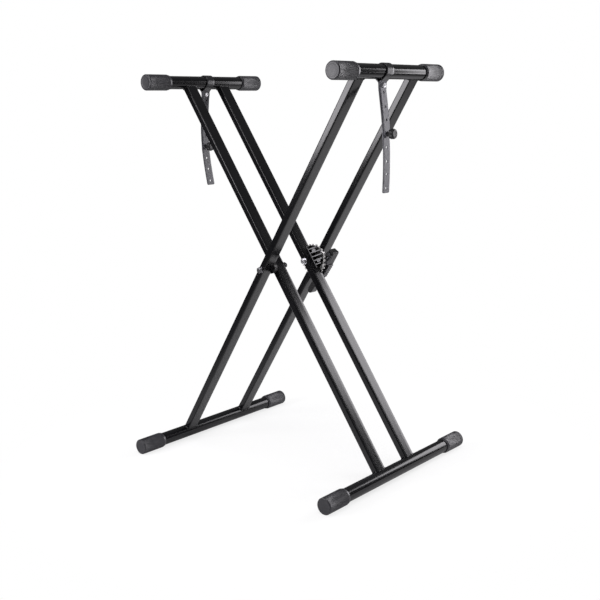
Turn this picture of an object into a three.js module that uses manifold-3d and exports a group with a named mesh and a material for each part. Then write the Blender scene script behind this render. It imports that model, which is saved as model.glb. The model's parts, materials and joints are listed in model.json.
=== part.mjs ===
// Folding keyboard stand with two crossed, double-braced frames. Millimetres, +Z up, floor at z = 0.
// X runs across the crossing legs, Y runs along the round tubes. The pose is the photographed one.
import * as THREE from 'three';
import { mergeVertices } from 'three/addons/utils/BufferGeometryUtils.js';
import ManifoldModule from 'manifold-3d';

const wasm = await ManifoldModule();
wasm.setup();

// ---- overall layout
const LEAN = 33.155; // degrees from vertical to each leg
const UPPER_ARM = 494; // pivot to the axis of a top tube
const LOWER_ARM = 516.5; // pivot to the axis of a foot tube
const INNER_LEG_Y = 53.6; // centre of an inner leg either side of the middle
const OUTER_LEG_Y = 94.2; // centre of an outer leg
const SEAT_GAP = 0.3; // clearance between separate pieces that touch in the real stand

// ---- round tubes and their rubber caps
const TUBE_R = 15;
const TUBE_WALL = 1.5;
const TOP_SPAN = 361; // over the two caps
const FOOT_SPAN = 498;
const TUBE_SIDES = 28;
const CAP_R = 18;
const CAP_LENGTH = 66;
const CAP_END = 4; // thickness of the closed end
const CAP_EDGE = 1.6; // rounding of the closed end
const CAP_RING_R = 12.5; // recessed disc inside the raised ring
const CAP_RING_DEPTH = 0.8;
const CAP_TAPER = 5; // length of the tapered mouth
const CAP_LIP = 1.4; // wall left at the mouth
const CAP_FLOOR = 17.4; // cap axis to the flat that stands on the floor
const CAP_SIDES = 24;

// ---- box section legs
const LEG_WIDE = 30; // along Y
const LEG_THIN = 15; // across the leg, in the folding plane
const LEG_WALL = 1.5;
const LEG_CORNER = 2.2;
const LEG_CORNER_STEPS = 3;

// ---- pivots
const BOLT_R = 4;
const HEX_R = 6.9; // corner radius of head and nut
const HEAD_HEIGHT = 5.5;
const NUT_HEIGHT = 6.5;
const NUT_DOME_R = 5.8;
const NUT_DOME_SHOULDER = 0.72; // radius and height of the dome's bend, as shares of the dome
const NUT_DOME_HEIGHT = 4;
const NUT_CAVITY = 1; // room past the end of the bolt
const BOLT_PAST_WASHER = 7; // bolt length inside the nut
const WASHER_R = 7.4;
const WASHER_THICK = 1.6;
const BUSH_R = 6;
const NEAR_COLLAR_R = 13;
const FAR_COLLAR_R = 12;
const ROUND_SIDES = 16;

// ---- toothed lock disc
const DISC_TEETH = 24;
const DISC_R = 36.5;
const DISC_ROOT_R = 33;
const DISC_THICK = 4;
const TOOTH_TIP_SHARE = 0.3; // part of the pitch covered by the tip
const TOOTH_ROOT_SHARE = 0.36; // part of the pitch left flat at the root
const DISC_SCREW_Z = 22;
const SCREW_R = 2;
const SCREW_HEAD_R = 4;
const SCREW_HEAD_HEIGHT = 1.8;
const DISC_SCREW_LENGTH = 13;

// ---- ribbed cover beside the disc
const COVER_R = 28.4;
const COVER_X = 4.8;
const COVER_Z = 3.1;
const COVER_BACK = 2.4;
const COVER_DEPTH = 11.5; // at the leg, sloping to the back plate at the rim
const COVER_WALL = 2; // wall that stands against the leg
const COVER_RIBS = 6;
const COVER_RIB_PITCH = 9.9;
const COVER_RIB_THICK = 2.4;
const COVER_RIB_TURN = 11.6; // degrees the ribs drop below the square line of the leg
const COVER_RIB_TOP = 22.8;
const COVER_SEAT = 0.4; // clearance behind the disc
const COVER_SCREW_X = 20;
const COVER_SCREW_Z = [14, -12];
const COVER_BOSS_R = 4.2;
const COVER_BORE_DEPTH = 6;
const COVER_SCREW_R = 1.6;
const COVER_SCREW_HEAD_R = 3.2;
const COVER_SCREW_LENGTH = 10;

// ---- release lever, in the outer frame: X away from the leg, Z up the leg
const LEVER_PIN_X = 26;
const LEVER_PIN_Z = -22;
const LEVER_PIN_R = 3;
const LEVER_PIN_HEAD_R = 4.6;
const LEVER_PIN_HEAD = 1.6;
const LEVER_WIDE = 19;
const LEVER_SIDE = 3;
const LEVER_SHIFT = -6; // middle of the lever from the middle of its leg, along Y
const LEVER_FACE_X = 37; // outer face of the upper grip
const LEVER_FACE_LOW_X = 35; // outer face at the foot of the pad
const LEVER_FACE_BEND_Z = 8;
const LEVER_TOP = 45;
const LEVER_BACK_X = 22;
const LEVER_TAIL_FRONT = [[30, -80], [31.5, -72]];
const LEVER_TAIL_BACK = [[22, -34], [19, -56], [18, -74], [20, -79.5], [23, -82.6], [26.8, -82.6]];
const LEVER_TOP_CUT = [2, 3]; // bevel at the top of the outer face, across and down
const LEVER_SHELL = 3.4; // thickness of the outer face
const LEVER_POCKET_TOP = 41;
const LEVER_POCKET_LOW = [31, -36]; // inner corner at the foot of the pocket
const BRACKET_PLATE = 2.4;
const BRACKET_EAR = 2.2;
const BRACKET_EAR_R = 7;
const BRACKET_TOP = -11;
const BRACKET_BOTTOM = -52;
const BRACKET_SCREW_Z = [-20, -44];
const BRACKET_EAR_RISE = 4; // the ear widens by this much above and below where it meets the plate
const BRACKET_SCREW_LENGTH = 9;
const PAD_THICK = 3;
const PAD_RIDGES = 7;
const PAD_SET_IN = 1.5; // pad edge to lever edge
const PAD_VALLEY = 0.45; // groove floor as a share of the pad thickness
const PAD_RIDGE = [0.35, 0.7]; // flat top of each ridge, as shares of the pitch
const PAD_TOP = 10;
const PAD_BOTTOM = -29;
const PAWL_PLATE = 2.9;
const PAWL_ANGLE = 25; // where the pawl meets the disc, degrees from the X axis
const PAWL_CLEAR = 1.2; // bar to the tips of the teeth
const PAWL_BAR = 4.4; // thickness of the bar behind the teeth
const PAWL_TIP_CLEAR = 0.9; // nose to the floor of a tooth gap
const PAWL_HALF = 4.5;
const PAWL_TIP_HALF = 1.1;
const PAWL_NOSE_HALF = 2.2;
const PAWL_RIVETS = [[29.5, 34.5], [29.5, 25]];
const PAWL_PLATE_OUTLINE = [[20, 6], [34, 6], [36.5, 12], [36.5, 36], [32, 39], [22, 39], [20, 36]];
const PAWL_RIVET_R = 1.8;
const PAWL_RIVET_HEAD_R = 3;
const PAWL_RIVET_HEAD = 1.2;
const SPRING_COIL_R = 4.2;
const SPRING_WIRE_R = 0.6;
const SPRING_TURNS = 3;
const SPRING_PITCH = 2.6;
const SPRING_LEG = 9;
const SPRING_LEG_LEAN = 0.4;
const SPRING_STEPS = 8; // along each turn
const SPRING_SIDES = 5;

// ---- rubber straps
const STRAP_WIDE = 23;
const STRAP_FRONT_WIDE = 19.6; // the short front tail is narrower
const STRAP_CORNER = 3.5; // corners of the long tail
const STRAP_THICK = 2.4;
const STRAP_GAP = 0.5; // between the two tails
const STRAP_LEAVE = 40; // degrees from straight down where the tails leave the tube
const STRAP_RING_STEPS = 16;
const STRAP_TAIL = 242; // tube axis to the end of the long tail
const STRAP_HOLE_R = 2.4;
const STRAP_HOLE_FIRST = 42;
const STRAP_HOLE_PITCH = 27;
const STRAP_HOLES = 8;
const STRAP_RIVET_Z = -27;
const STRAP_RIVET_R = 2.2;
const STRAP_RIVET_HEAD_R = 5;
const STRAP_RIVET_HEAD = 3;
// bend is the depth of the bow in the tail, lean is how far its end hangs out,
// skew is how far the top of the loop has crept along the tube
const STRAP_SIDES = [
  { side: 'left', y: 3, knobHole: 4, bend: -11, lean: 6.5, skew: 6 },
  { side: 'right', y: -21.5, knobHole: 3, bend: 6.3, lean: 7.2, skew: 9 },
];
const STRAP_BEND_STEPS = 8;
const STRAP_CORNER_STEPS = 5;
const STRAP_FRONT_ROUND = 9.2; // corners of the front tail, nearly a half round
const STRAP_TAIL_PAST_KNOB = 7;
const KNOB_NECK_R = 5;
const KNOB_NECK = 7;
const KNOB_R = 10.5;
const KNOB_LENGTH = 11;
const KNOB_EDGE = 1.5; // the plain end past the lobes
const KNOB_STEP = 0.8; // how far that end lies inside the valleys
const KNOB_LOBES = 12;
const KNOB_LOBE_DEPTH = 1.1;
const STUD_R = 3;
const STUD_HEAD_R = 6.5;
const STUD_HEAD = 2.4;
const STUD_IN_KNOB = 8;

// ---- colours
const BLACK_STEEL = { color: 0x141416, roughness: 0.42, metalness: 0.25 };
const GREY_RUBBER = { color: 0x37383b, roughness: 0.8, metalness: 0 };
const STRAP_RUBBER = { color: 0x4a4b50, roughness: 0.7, metalness: 0 };
const ZINC = { color: 0xb9bcc0, roughness: 0.32, metalness: 0.9 };
const BLACK_PLASTIC = { color: 0x121214, roughness: 0.55, metalness: 0 };
const DARK_STEEL = { color: 0x4c4e52, roughness: 0.4, metalness: 0.8 };

// ---- small helpers
const radians = (degrees) => THREE.MathUtils.degToRad(degrees);

function toSolid(geometry) {
  const bare = geometry.clone();
  bare.deleteAttribute('normal');
  bare.deleteAttribute('uv');
  const welded = mergeVertices(bare, 1e-4);
  const mesh = new wasm.Mesh({
    numProp: 3,
    vertProperties: new Float32Array(welded.attributes.position.array),
    triVerts: new Uint32Array(welded.index.array),
  });
  mesh.merge();
  const solid = new wasm.Manifold(mesh);
  return solid;
}

function toGeometry(solid) {
  const mesh = solid.getMesh();
  const geometry = new THREE.BufferGeometry();
  geometry.setAttribute('position', new THREE.BufferAttribute(new Float32Array(mesh.vertProperties), 3));
  geometry.setIndex(new THREE.BufferAttribute(new Uint32Array(mesh.triVerts), 1));
  return geometry;
}

function joined(...geometries) {
  return toGeometry(geometries.map(toSolid).reduce((all, one) => all.add(one)));
}

function cut(base, ...tools) {
  return toGeometry(tools.map(toSolid).reduce((left, tool) => left.subtract(tool), toSolid(base)));
}

function kept(base, tool) {
  return toGeometry(toSolid(base).intersect(toSolid(tool)));
}

function outward(geometry) {
  const position = geometry.attributes.position;
  const index = geometry.index ? geometry.index.array : null;
  const count = index ? index.length : position.count;
  const corner = (i) => new THREE.Vector3().fromBufferAttribute(position, index ? index[i] : i);
  let volume = 0;
  for (let i = 0; i < count; i += 3) {
    volume += corner(i).dot(corner(i + 1).cross(corner(i + 2)));
  }
  if (volume < 0) {
    const order = index ?? Uint32Array.from({ length: count }, (_, i) => i);
    const turned = order.slice();
    for (let i = 0; i < count; i += 3) {
      turned[i] = order[i + 1];
      turned[i + 1] = order[i];
    }
    geometry.setIndex(new THREE.BufferAttribute(new Uint32Array(turned), 1));
  }
  return geometry;
}

function shapeOf(points, holes = []) {
  const shape = new THREE.Shape(points.map(([x, y]) => new THREE.Vector2(x, y)));
  for (const hole of holes) {
    shape.holes.push(new THREE.Path(hole.map(([x, y]) => new THREE.Vector2(x, y))));
  }
  return shape;
}

function circle(x, z, radius, sides = ROUND_SIDES, start = 0) {
  const points = [];
  for (let i = 0; i < sides; i += 1) {
    const angle = start + (i / sides) * Math.PI * 2;
    points.push([x + radius * Math.cos(angle), z + radius * Math.sin(angle)]);
  }
  return points;
}

// a flat shape drawn in X and Z, given a thickness from y0 to y1
function plateY(points, y0, y1, holes = []) {
  const geometry = new THREE.ExtrudeGeometry(shapeOf(points, holes), { depth: y1 - y0, bevelEnabled: false });
  geometry.rotateX(Math.PI / 2);
  geometry.translate(0, y1, 0);
  return outward(geometry);
}

// a flat shape drawn in Y and Z, given a thickness from x0 to x1
function plateX(points, x0, x1, holes = []) {
  const geometry = new THREE.ExtrudeGeometry(shapeOf(points, holes), { depth: x1 - x0, bevelEnabled: false });
  geometry.rotateX(Math.PI / 2);
  geometry.rotateZ(Math.PI / 2);
  geometry.translate(x0, 0, 0);
  return outward(geometry);
}

function rodY(radius, y0, y1, x = 0, z = 0, sides = ROUND_SIDES) {
  return plateY(circle(x, z, radius, sides), y0, y1);
}

function rodX(radius, x0, x1, y = 0, z = 0, sides = ROUND_SIDES) {
  return plateX(circle(y, z, radius, sides), x0, x1);
}

function block(x0, x1, y0, y1, z0, z1) {
  const geometry = new THREE.BoxGeometry(x1 - x0, y1 - y0, z1 - z0);
  geometry.translate((x0 + x1) / 2, (y0 + y1) / 2, (z0 + z1) / 2);
  return geometry;
}

// a turned body about Y from [radius, y] pairs
function turnedY(pairs, sides) {
  return outward(new THREE.LatheGeometry(pairs.map(([r, y]) => new THREE.Vector2(r, y)), sides));
}

function addPart(group, name, geometry, look, place = {}) {
  const mesh = new THREE.Mesh(geometry, new THREE.MeshStandardMaterial(look));
  mesh.name = name;
  mesh.position.set(place.x ?? 0, place.y ?? 0, place.z ?? 0);
  mesh.rotation.set(0, place.turnY ?? 0, place.turnZ ?? 0);
  group.add(mesh);
  return mesh;
}

// ---- the two frames share one pivot axis
const pivotHeight = CAP_FLOOR + LOWER_ARM * Math.cos(radians(LEAN));
const stand = new THREE.Group();
stand.name = 'keyboard_stand';
const innerFrame = new THREE.Group();
innerFrame.name = 'inner_frame';
innerFrame.position.z = pivotHeight;
innerFrame.rotation.y = -radians(LEAN);
const outerFrame = new THREE.Group();
outerFrame.name = 'outer_frame';
outerFrame.position.z = pivotHeight;
outerFrame.rotation.y = radians(LEAN);
stand.add(innerFrame, outerFrame);

// faces of the legs along Y
const halfWide = LEG_WIDE / 2;
const innerIn = INNER_LEG_Y - halfWide;
const innerOut = INNER_LEG_Y + halfWide;
const outerIn = OUTER_LEG_Y - halfWide;
const outerOut = OUTER_LEG_Y + halfWide;
const halfThin = LEG_THIN / 2;
const clearR = (radius) => radius + SEAT_GAP;

// ---- tubes and caps
function hollowTube(span) {
  const half = span / 2 - CAP_END - SEAT_GAP;
  const bore = TUBE_R - TUBE_WALL;
  return turnedY([[bore, -half], [TUBE_R, -half], [TUBE_R, half], [bore, half], [bore, -half]], TUBE_SIDES);
}

// closed end at y = 0, open mouth towards +Y
const capProfile = [
  [0, CAP_RING_DEPTH],
  [CAP_RING_R, CAP_RING_DEPTH],
  [CAP_RING_R, 0],
  [CAP_R - CAP_EDGE, 0],
  [CAP_R, CAP_EDGE],
  [CAP_R, CAP_LENGTH - CAP_TAPER],
  [clearR(TUBE_R) + CAP_LIP, CAP_LENGTH],
  [clearR(TUBE_R), CAP_LENGTH],
  [clearR(TUBE_R), CAP_END],
  [0, CAP_END],
];
const plainCap = () => turnedY(capProfile, CAP_SIDES);
const floorTool = block(-CAP_R, CAP_R, -1, CAP_LENGTH + 1, -2 * CAP_R, -CAP_FLOOR);
const footCap = () => cut(plainCap(), floorTool);

function addTubeAndCaps(group, prefix, z, span, capMaker, capTurn) {
  addPart(group, `${prefix}_tube`, hollowTube(span), BLACK_STEEL, { z });
  addPart(group, `${prefix}_near_cap`, capMaker(), GREY_RUBBER, { y: -span / 2, z, turnY: capTurn });
  const far = { y: span / 2, z, turnY: capTurn, turnZ: Math.PI };
  addPart(group, `${prefix}_far_cap`, capMaker(), GREY_RUBBER, far);
}
addTubeAndCaps(innerFrame, 'inner_top', UPPER_ARM, TOP_SPAN, plainCap, 0);
addTubeAndCaps(innerFrame, 'inner_foot', -LOWER_ARM, FOOT_SPAN, footCap, radians(LEAN));
addTubeAndCaps(outerFrame, 'outer_top', UPPER_ARM, TOP_SPAN, plainCap, 0);
addTubeAndCaps(outerFrame, 'outer_foot', -LOWER_ARM, FOOT_SPAN, footCap, -radians(LEAN));

// ---- legs
function roundedBox(wide, tall, corner) {
  const points = [];
  const centres = [[1, 1], [-1, 1], [-1, -1], [1, -1]];
  centres.forEach(([sx, sy], quarter) => {
    for (let i = 0; i <= LEG_CORNER_STEPS; i += 1) {
      const angle = (quarter + i / LEG_CORNER_STEPS) * (Math.PI / 2);
      const x = sx * (wide / 2 - corner) + corner * Math.cos(angle);
      const y = sy * (tall / 2 - corner) + corner * Math.sin(angle);
      points.push([x, y]);
    }
  });
  return points;
}

function legTube(...holes) {
  const insideX = halfThin - LEG_WALL;
  const insideY = halfWide - LEG_WALL;
  const bore = [[-insideX, -insideY], [-insideX, insideY], [insideX, insideY], [insideX, -insideY]];
  const shape = shapeOf(roundedBox(LEG_THIN, LEG_WIDE, LEG_CORNER), [bore]);
  const length = UPPER_ARM + LOWER_ARM;
  const blank = new THREE.ExtrudeGeometry(shape, { depth: length, bevelEnabled: false });
  blank.translate(0, 0, -LOWER_ARM);
  const copeR = clearR(TUBE_R);
  const cope = (z) => rodY(copeR, -halfWide - 1, halfWide + 1, 0, z, TUBE_SIDES);
  return cut(blank, cope(UPPER_ARM), cope(-LOWER_ARM), ...holes);
}

const throughLeg = (radius) => rodY(radius, -halfWide - 1, halfWide + 1);
const discScrewHole = (z) => rodY(clearR(SCREW_R), halfWide - LEG_WALL - 1, halfWide + 1, 0, z, 12);
const bracketScrewHole = (z) => (
  rodX(clearR(SCREW_R), halfThin - LEG_WALL - 1, halfThin + 1, LEVER_SHIFT, z, 12)
);

addPart(innerFrame, 'inner_near_leg', legTube(throughLeg(clearR(BUSH_R))), BLACK_STEEL, { y: -INNER_LEG_Y });
const innerFarLeg = legTube(
  throughLeg(clearR(BUSH_R)),
  discScrewHole(DISC_SCREW_Z),
  discScrewHole(-DISC_SCREW_Z),
);
addPart(innerFrame, 'inner_far_leg', innerFarLeg, BLACK_STEEL, { y: INNER_LEG_Y });
addPart(outerFrame, 'outer_near_leg', legTube(throughLeg(clearR(BOLT_R))), BLACK_STEEL, { y: -OUTER_LEG_Y });
const outerFarLeg = legTube(throughLeg(clearR(BOLT_R)), ...BRACKET_SCREW_Z.map(bracketScrewHole));
addPart(outerFrame, 'outer_far_leg', outerFarLeg, BLACK_STEEL, { y: OUTER_LEG_Y });

// ---- pivot hardware, all on the Y axis of the frames
const hexagon = circle(0, 0, HEX_R, 6);
const washerStep = SEAT_GAP + WASHER_THICK + SEAT_GAP; // leg face to the seat of a head or nut

function hexBolt(headSeat, tip) {
  return joined(plateY(hexagon, headSeat - HEAD_HEIGHT, headSeat), rodY(BOLT_R, headSeat - 1, tip));
}

function domedNut(seat, boltTip) {
  const domeStart = seat + NUT_HEIGHT;
  const dome = turnedY([
    [0, domeStart - 1],
    [NUT_DOME_R, domeStart - 1],
    [NUT_DOME_R, domeStart],
    [NUT_DOME_R * NUT_DOME_SHOULDER, domeStart + NUT_DOME_HEIGHT * NUT_DOME_SHOULDER],
    [0, domeStart + NUT_DOME_HEIGHT],
  ], 12);
  const bore = rodY(clearR(BOLT_R), seat - 1, boltTip + NUT_CAVITY);
  return cut(joined(plateY(hexagon, seat, domeStart), dome), bore);
}

const headWasher = (face) => washer(face - SEAT_GAP - WASHER_THICK);
const nutWasher = (face) => washer(face + SEAT_GAP);
function washer(y0) {
  return plateY(circle(0, 0, WASHER_R), y0, y0 + WASHER_THICK, [circle(0, 0, clearR(BOLT_R))]);
}

const nearHeadSeat = -outerOut - washerStep;
const nearNutSeat = -innerIn + washerStep;
const nearTip = nearNutSeat + BOLT_PAST_WASHER;
addPart(outerFrame, 'near_pivot_bolt', hexBolt(nearHeadSeat, nearTip), ZINC);
addPart(outerFrame, 'near_head_washer', headWasher(-outerOut), ZINC);
addPart(outerFrame, 'near_nut_washer', nutWasher(-innerIn), BLACK_PLASTIC);
addPart(outerFrame, 'near_pivot_nut', domedNut(nearNutSeat, nearTip), BLACK_PLASTIC);

const farHeadSeat = innerIn - washerStep;
const farNutSeat = outerOut + washerStep;
const farTip = farNutSeat + BOLT_PAST_WASHER;
addPart(innerFrame, 'far_pivot_bolt', hexBolt(farHeadSeat, farTip), ZINC);
addPart(innerFrame, 'far_head_washer', headWasher(innerIn), ZINC);
addPart(innerFrame, 'far_nut_washer', nutWasher(outerOut), ZINC);
addPart(innerFrame, 'far_pivot_nut', domedNut(farNutSeat, farTip), BLACK_PLASTIC);

const bushBore = rodY(clearR(BOLT_R), -outerOut, outerOut);
const nearBush = cut(
  joined(
    rodY(NEAR_COLLAR_R, -outerIn + SEAT_GAP, -innerOut - SEAT_GAP),
    rodY(BUSH_R, -innerOut - SEAT_GAP - 1, -innerIn - SEAT_GAP),
  ),
  bushBore,
);
addPart(innerFrame, 'near_pivot_bush', nearBush, BLACK_PLASTIC);
const discFront = innerOut + SEAT_GAP;
const discBack = discFront + DISC_THICK;
const farBush = cut(
  joined(
    rodY(BUSH_R, innerIn + SEAT_GAP, outerIn - SEAT_GAP - 1),
    rodY(FAR_COLLAR_R, discBack + SEAT_GAP, outerIn - SEAT_GAP),
  ),
  bushBore,
);
addPart(innerFrame, 'far_pivot_bush', farBush, BLACK_PLASTIC);

// ---- lock disc: a tooth gap faces the pawl in the photographed pose
function discOutline() {
  const pitch = 360 / DISC_TEETH;
  const gapCentre = PAWL_ANGLE - 2 * LEAN;
  const points = [];
  for (let i = 0; i < DISC_TEETH; i += 1) {
    const gap = gapCentre + i * pitch;
    const tooth = gap + pitch / 2;
    const corners = [
      [DISC_ROOT_R, gap - (pitch * TOOTH_ROOT_SHARE) / 2],
      [DISC_ROOT_R, gap + (pitch * TOOTH_ROOT_SHARE) / 2],
      [DISC_R, tooth - (pitch * TOOTH_TIP_SHARE) / 2],
      [DISC_R, tooth + (pitch * TOOTH_TIP_SHARE) / 2],
    ];
    for (const [radius, angle] of corners) {
      points.push([radius * Math.cos(radians(angle)), radius * Math.sin(radians(angle))]);
    }
  }
  return points;
}
const discHoles = [
  circle(0, 0, clearR(BUSH_R)),
  circle(0, DISC_SCREW_Z, clearR(SCREW_R), 12),
  circle(0, -DISC_SCREW_Z, clearR(SCREW_R), 12),
  ...COVER_SCREW_Z.map((z) => circle(COVER_SCREW_X, z, clearR(COVER_SCREW_R), 12)),
];
addPart(innerFrame, 'lock_disc', plateY(discOutline(), discFront, discBack, discHoles), ZINC);

function panScrewY(x, z, seat, radius, headRadius, length) {
  return joined(
    rodY(headRadius, seat, seat + SCREW_HEAD_HEIGHT, x, z, 12),
    rodY(radius, seat - length, seat + 1, x, z, 10),
  );
}
const discScrewSeat = discBack + SEAT_GAP;
[DISC_SCREW_Z, -DISC_SCREW_Z].forEach((z, i) => {
  const screw = panScrewY(0, z, discScrewSeat, SCREW_R, SCREW_HEAD_R, DISC_SCREW_LENGTH);
  addPart(innerFrame, `disc_screw_${i + 1}`, screw, ZINC);
});

// ---- ribbed cover: a half round plate with ribs that slope back from the leg to the rim
function lockCover() {
  const back = discFront - COVER_SEAT;
  const front = back - COVER_DEPTH;
  const legFace = halfThin + SEAT_GAP;
  const rim = COVER_X + COVER_R;
  const tall = 4 * COVER_R;
  const wedge = new THREE.ExtrudeGeometry(
    shapeOf([[legFace, front], [legFace + COVER_WALL, front], [rim, back - COVER_BACK], [rim, back], [legFace, back]]),
    { depth: tall, bevelEnabled: false },
  );
  wedge.translate(0, 0, -tall / 2);
  const envelope = kept(plateY(circle(COVER_X, COVER_Z, COVER_R, 32), front - 1, back + 1), wedge);
  const pieces = [
    block(0, rim, back - COVER_BACK, back, -2 * COVER_R, 2 * COVER_R),
    block(0, legFace + COVER_WALL, front, back, -2 * COVER_R, 2 * COVER_R),
  ];
  for (let i = 0; i < COVER_RIBS; i += 1) {
    const rib = block(-COVER_R, 2 * COVER_R, front, back, -COVER_RIB_THICK / 2, COVER_RIB_THICK / 2);
    rib.rotateY(radians(COVER_RIB_TURN));
    rib.translate(legFace, 0, COVER_RIB_TOP - i * COVER_RIB_PITCH);
    pieces.push(rib);
  }
  for (const z of COVER_SCREW_Z) {
    pieces.push(rodY(COVER_BOSS_R, front, back, COVER_SCREW_X, z, 12));
  }
  const bores = COVER_SCREW_Z.map((z) => (
    rodY(clearR(COVER_SCREW_R), back - COVER_BORE_DEPTH, back + 1, COVER_SCREW_X, z, 10)
  ));
  return cut(kept(envelope, joined(...pieces)), ...bores);
}
addPart(innerFrame, 'lock_cover', lockCover(), BLACK_PLASTIC);
COVER_SCREW_Z.forEach((z, i) => {
  const x = COVER_SCREW_X;
  const screw = panScrewY(x, z, discScrewSeat, COVER_SCREW_R, COVER_SCREW_HEAD_R, COVER_SCREW_LENGTH);
  addPart(innerFrame, `cover_screw_${i + 1}`, screw, ZINC);
});

// ---- release lever group on the outer far leg
const leverMiddle = OUTER_LEG_Y + LEVER_SHIFT;
const leverY0 = leverMiddle - LEVER_WIDE / 2;
const leverY1 = leverMiddle + LEVER_WIDE / 2;
const legSide = halfThin + SEAT_GAP;

function leverBracket() {
  const y0 = leverY0 - SEAT_GAP - BRACKET_EAR;
  const y1 = leverY1 + SEAT_GAP + BRACKET_EAR;
  const baseTop = legSide + BRACKET_PLATE;
  const base = block(legSide, baseTop, y0, y1, BRACKET_BOTTOM, BRACKET_TOP);
  const ear = [
    [legSide + 1, LEVER_PIN_Z - BRACKET_EAR_R - BRACKET_EAR_RISE],
    [LEVER_PIN_X, LEVER_PIN_Z - BRACKET_EAR_R],
    ...circle(LEVER_PIN_X, LEVER_PIN_Z, BRACKET_EAR_R, 12, -Math.PI / 2).slice(1, 6),
    [LEVER_PIN_X, LEVER_PIN_Z + BRACKET_EAR_R],
    [legSide + 1, LEVER_PIN_Z + BRACKET_EAR_R + BRACKET_EAR_RISE],
  ];
  const pinHole = rodY(clearR(LEVER_PIN_R), y0 - 1, y1 + 1, LEVER_PIN_X, LEVER_PIN_Z, 16);
  const screwHoles = BRACKET_SCREW_Z.map((z) => (
    rodX(clearR(SCREW_R), legSide - 1, baseTop + 1, leverMiddle, z, 12)
  ));
  const body = joined(base, plateY(ear, y0, y0 + BRACKET_EAR), plateY(ear, y1 - BRACKET_EAR, y1));
  return cut(body, pinHole, ...screwHoles);
}
addPart(outerFrame, 'lever_bracket', leverBracket(), BLACK_STEEL);

const bracketSeat = legSide + BRACKET_PLATE + SEAT_GAP;
BRACKET_SCREW_Z.forEach((z, i) => {
  const screw = joined(
    rodX(SCREW_HEAD_R, bracketSeat, bracketSeat + SCREW_HEAD_HEIGHT, leverMiddle, z, 12),
    rodX(SCREW_R, bracketSeat - BRACKET_SCREW_LENGTH, bracketSeat + 1, leverMiddle, z, 10),
  );
  addPart(outerFrame, `bracket_screw_${i + 1}`, screw, ZINC);
});

const leverOutline = [
  [LEVER_BACK_X, LEVER_TOP],
  ...LEVER_TAIL_BACK,
  ...LEVER_TAIL_FRONT,
  [LEVER_FACE_LOW_X, PAD_BOTTOM],
  [LEVER_FACE_X, LEVER_FACE_BEND_Z],
  [LEVER_FACE_X, LEVER_TOP - LEVER_TOP_CUT[1]],
  [LEVER_FACE_X - LEVER_TOP_CUT[0], LEVER_TOP],
];
const leverPocket = [
  [legSide, LEVER_POCKET_LOW[1]],
  LEVER_POCKET_LOW,
  [LEVER_FACE_X - LEVER_SHELL, LEVER_FACE_BEND_Z],
  [LEVER_FACE_X - LEVER_SHELL, LEVER_POCKET_TOP],
  [legSide, LEVER_POCKET_TOP],
];
function releaseLever() {
  const body = plateY(leverOutline, leverY0, leverY1);
  const pocket = plateY(leverPocket, leverY0 + LEVER_SIDE, leverY1 - LEVER_SIDE);
  const pinHole = rodY(clearR(LEVER_PIN_R), leverY0 - 1, leverY1 + 1, LEVER_PIN_X, LEVER_PIN_Z, 16);
  const rivetHoles = PAWL_RIVETS.map(([x, z]) => (
    rodY(clearR(PAWL_RIVET_R), leverY0 - 1, leverY0 + LEVER_SIDE + 1, x, z, 10)
  ));
  return cut(body, pocket, pinHole, ...rivetHoles);
}
addPart(outerFrame, 'release_lever', releaseLever(), BLACK_PLASTIC);

function gripPad() {
  const slope = (LEVER_FACE_X - LEVER_FACE_LOW_X) / (LEVER_FACE_BEND_Z - PAD_BOTTOM);
  const faceX = (z) => SEAT_GAP + LEVER_FACE_X - slope * Math.max(0, LEVER_FACE_BEND_Z - z);
  const inner = [PAD_TOP, LEVER_FACE_BEND_Z, PAD_BOTTOM].map((z) => [faceX(z), z]);
  const outer = [];
  const step = (PAD_TOP - PAD_BOTTOM) / PAD_RIDGES;
  for (let i = 0; i < PAD_RIDGES; i += 1) {
    const low = PAD_BOTTOM + i * step;
    outer.push([faceX(low) + PAD_THICK * PAD_VALLEY, low]);
    PAD_RIDGE.forEach((share) => outer.push([faceX(low) + PAD_THICK, low + step * share]));
  }
  outer.push([faceX(PAD_TOP) + PAD_THICK * PAD_VALLEY, PAD_TOP]);
  return plateY([...inner, ...outer], leverY0 + PAD_SET_IN, leverY1 - PAD_SET_IN);
}
addPart(outerFrame, 'lever_grip_pad', gripPad(), GREY_RUBBER);

function leverPin() {
  const y0 = leverY0 - 2 * SEAT_GAP - BRACKET_EAR;
  const y1 = leverY1 + 2 * SEAT_GAP + BRACKET_EAR;
  return joined(
    rodY(LEVER_PIN_HEAD_R, y0 - LEVER_PIN_HEAD, y0, LEVER_PIN_X, LEVER_PIN_Z, 14),
    rodY(LEVER_PIN_R, y0 - 1, y1 + 1, LEVER_PIN_X, LEVER_PIN_Z, 14),
    rodY(LEVER_PIN_HEAD_R, y1, y1 + LEVER_PIN_HEAD, LEVER_PIN_X, LEVER_PIN_Z, 14),
  );
}
addPart(outerFrame, 'lever_pin', leverPin(), ZINC);

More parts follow.
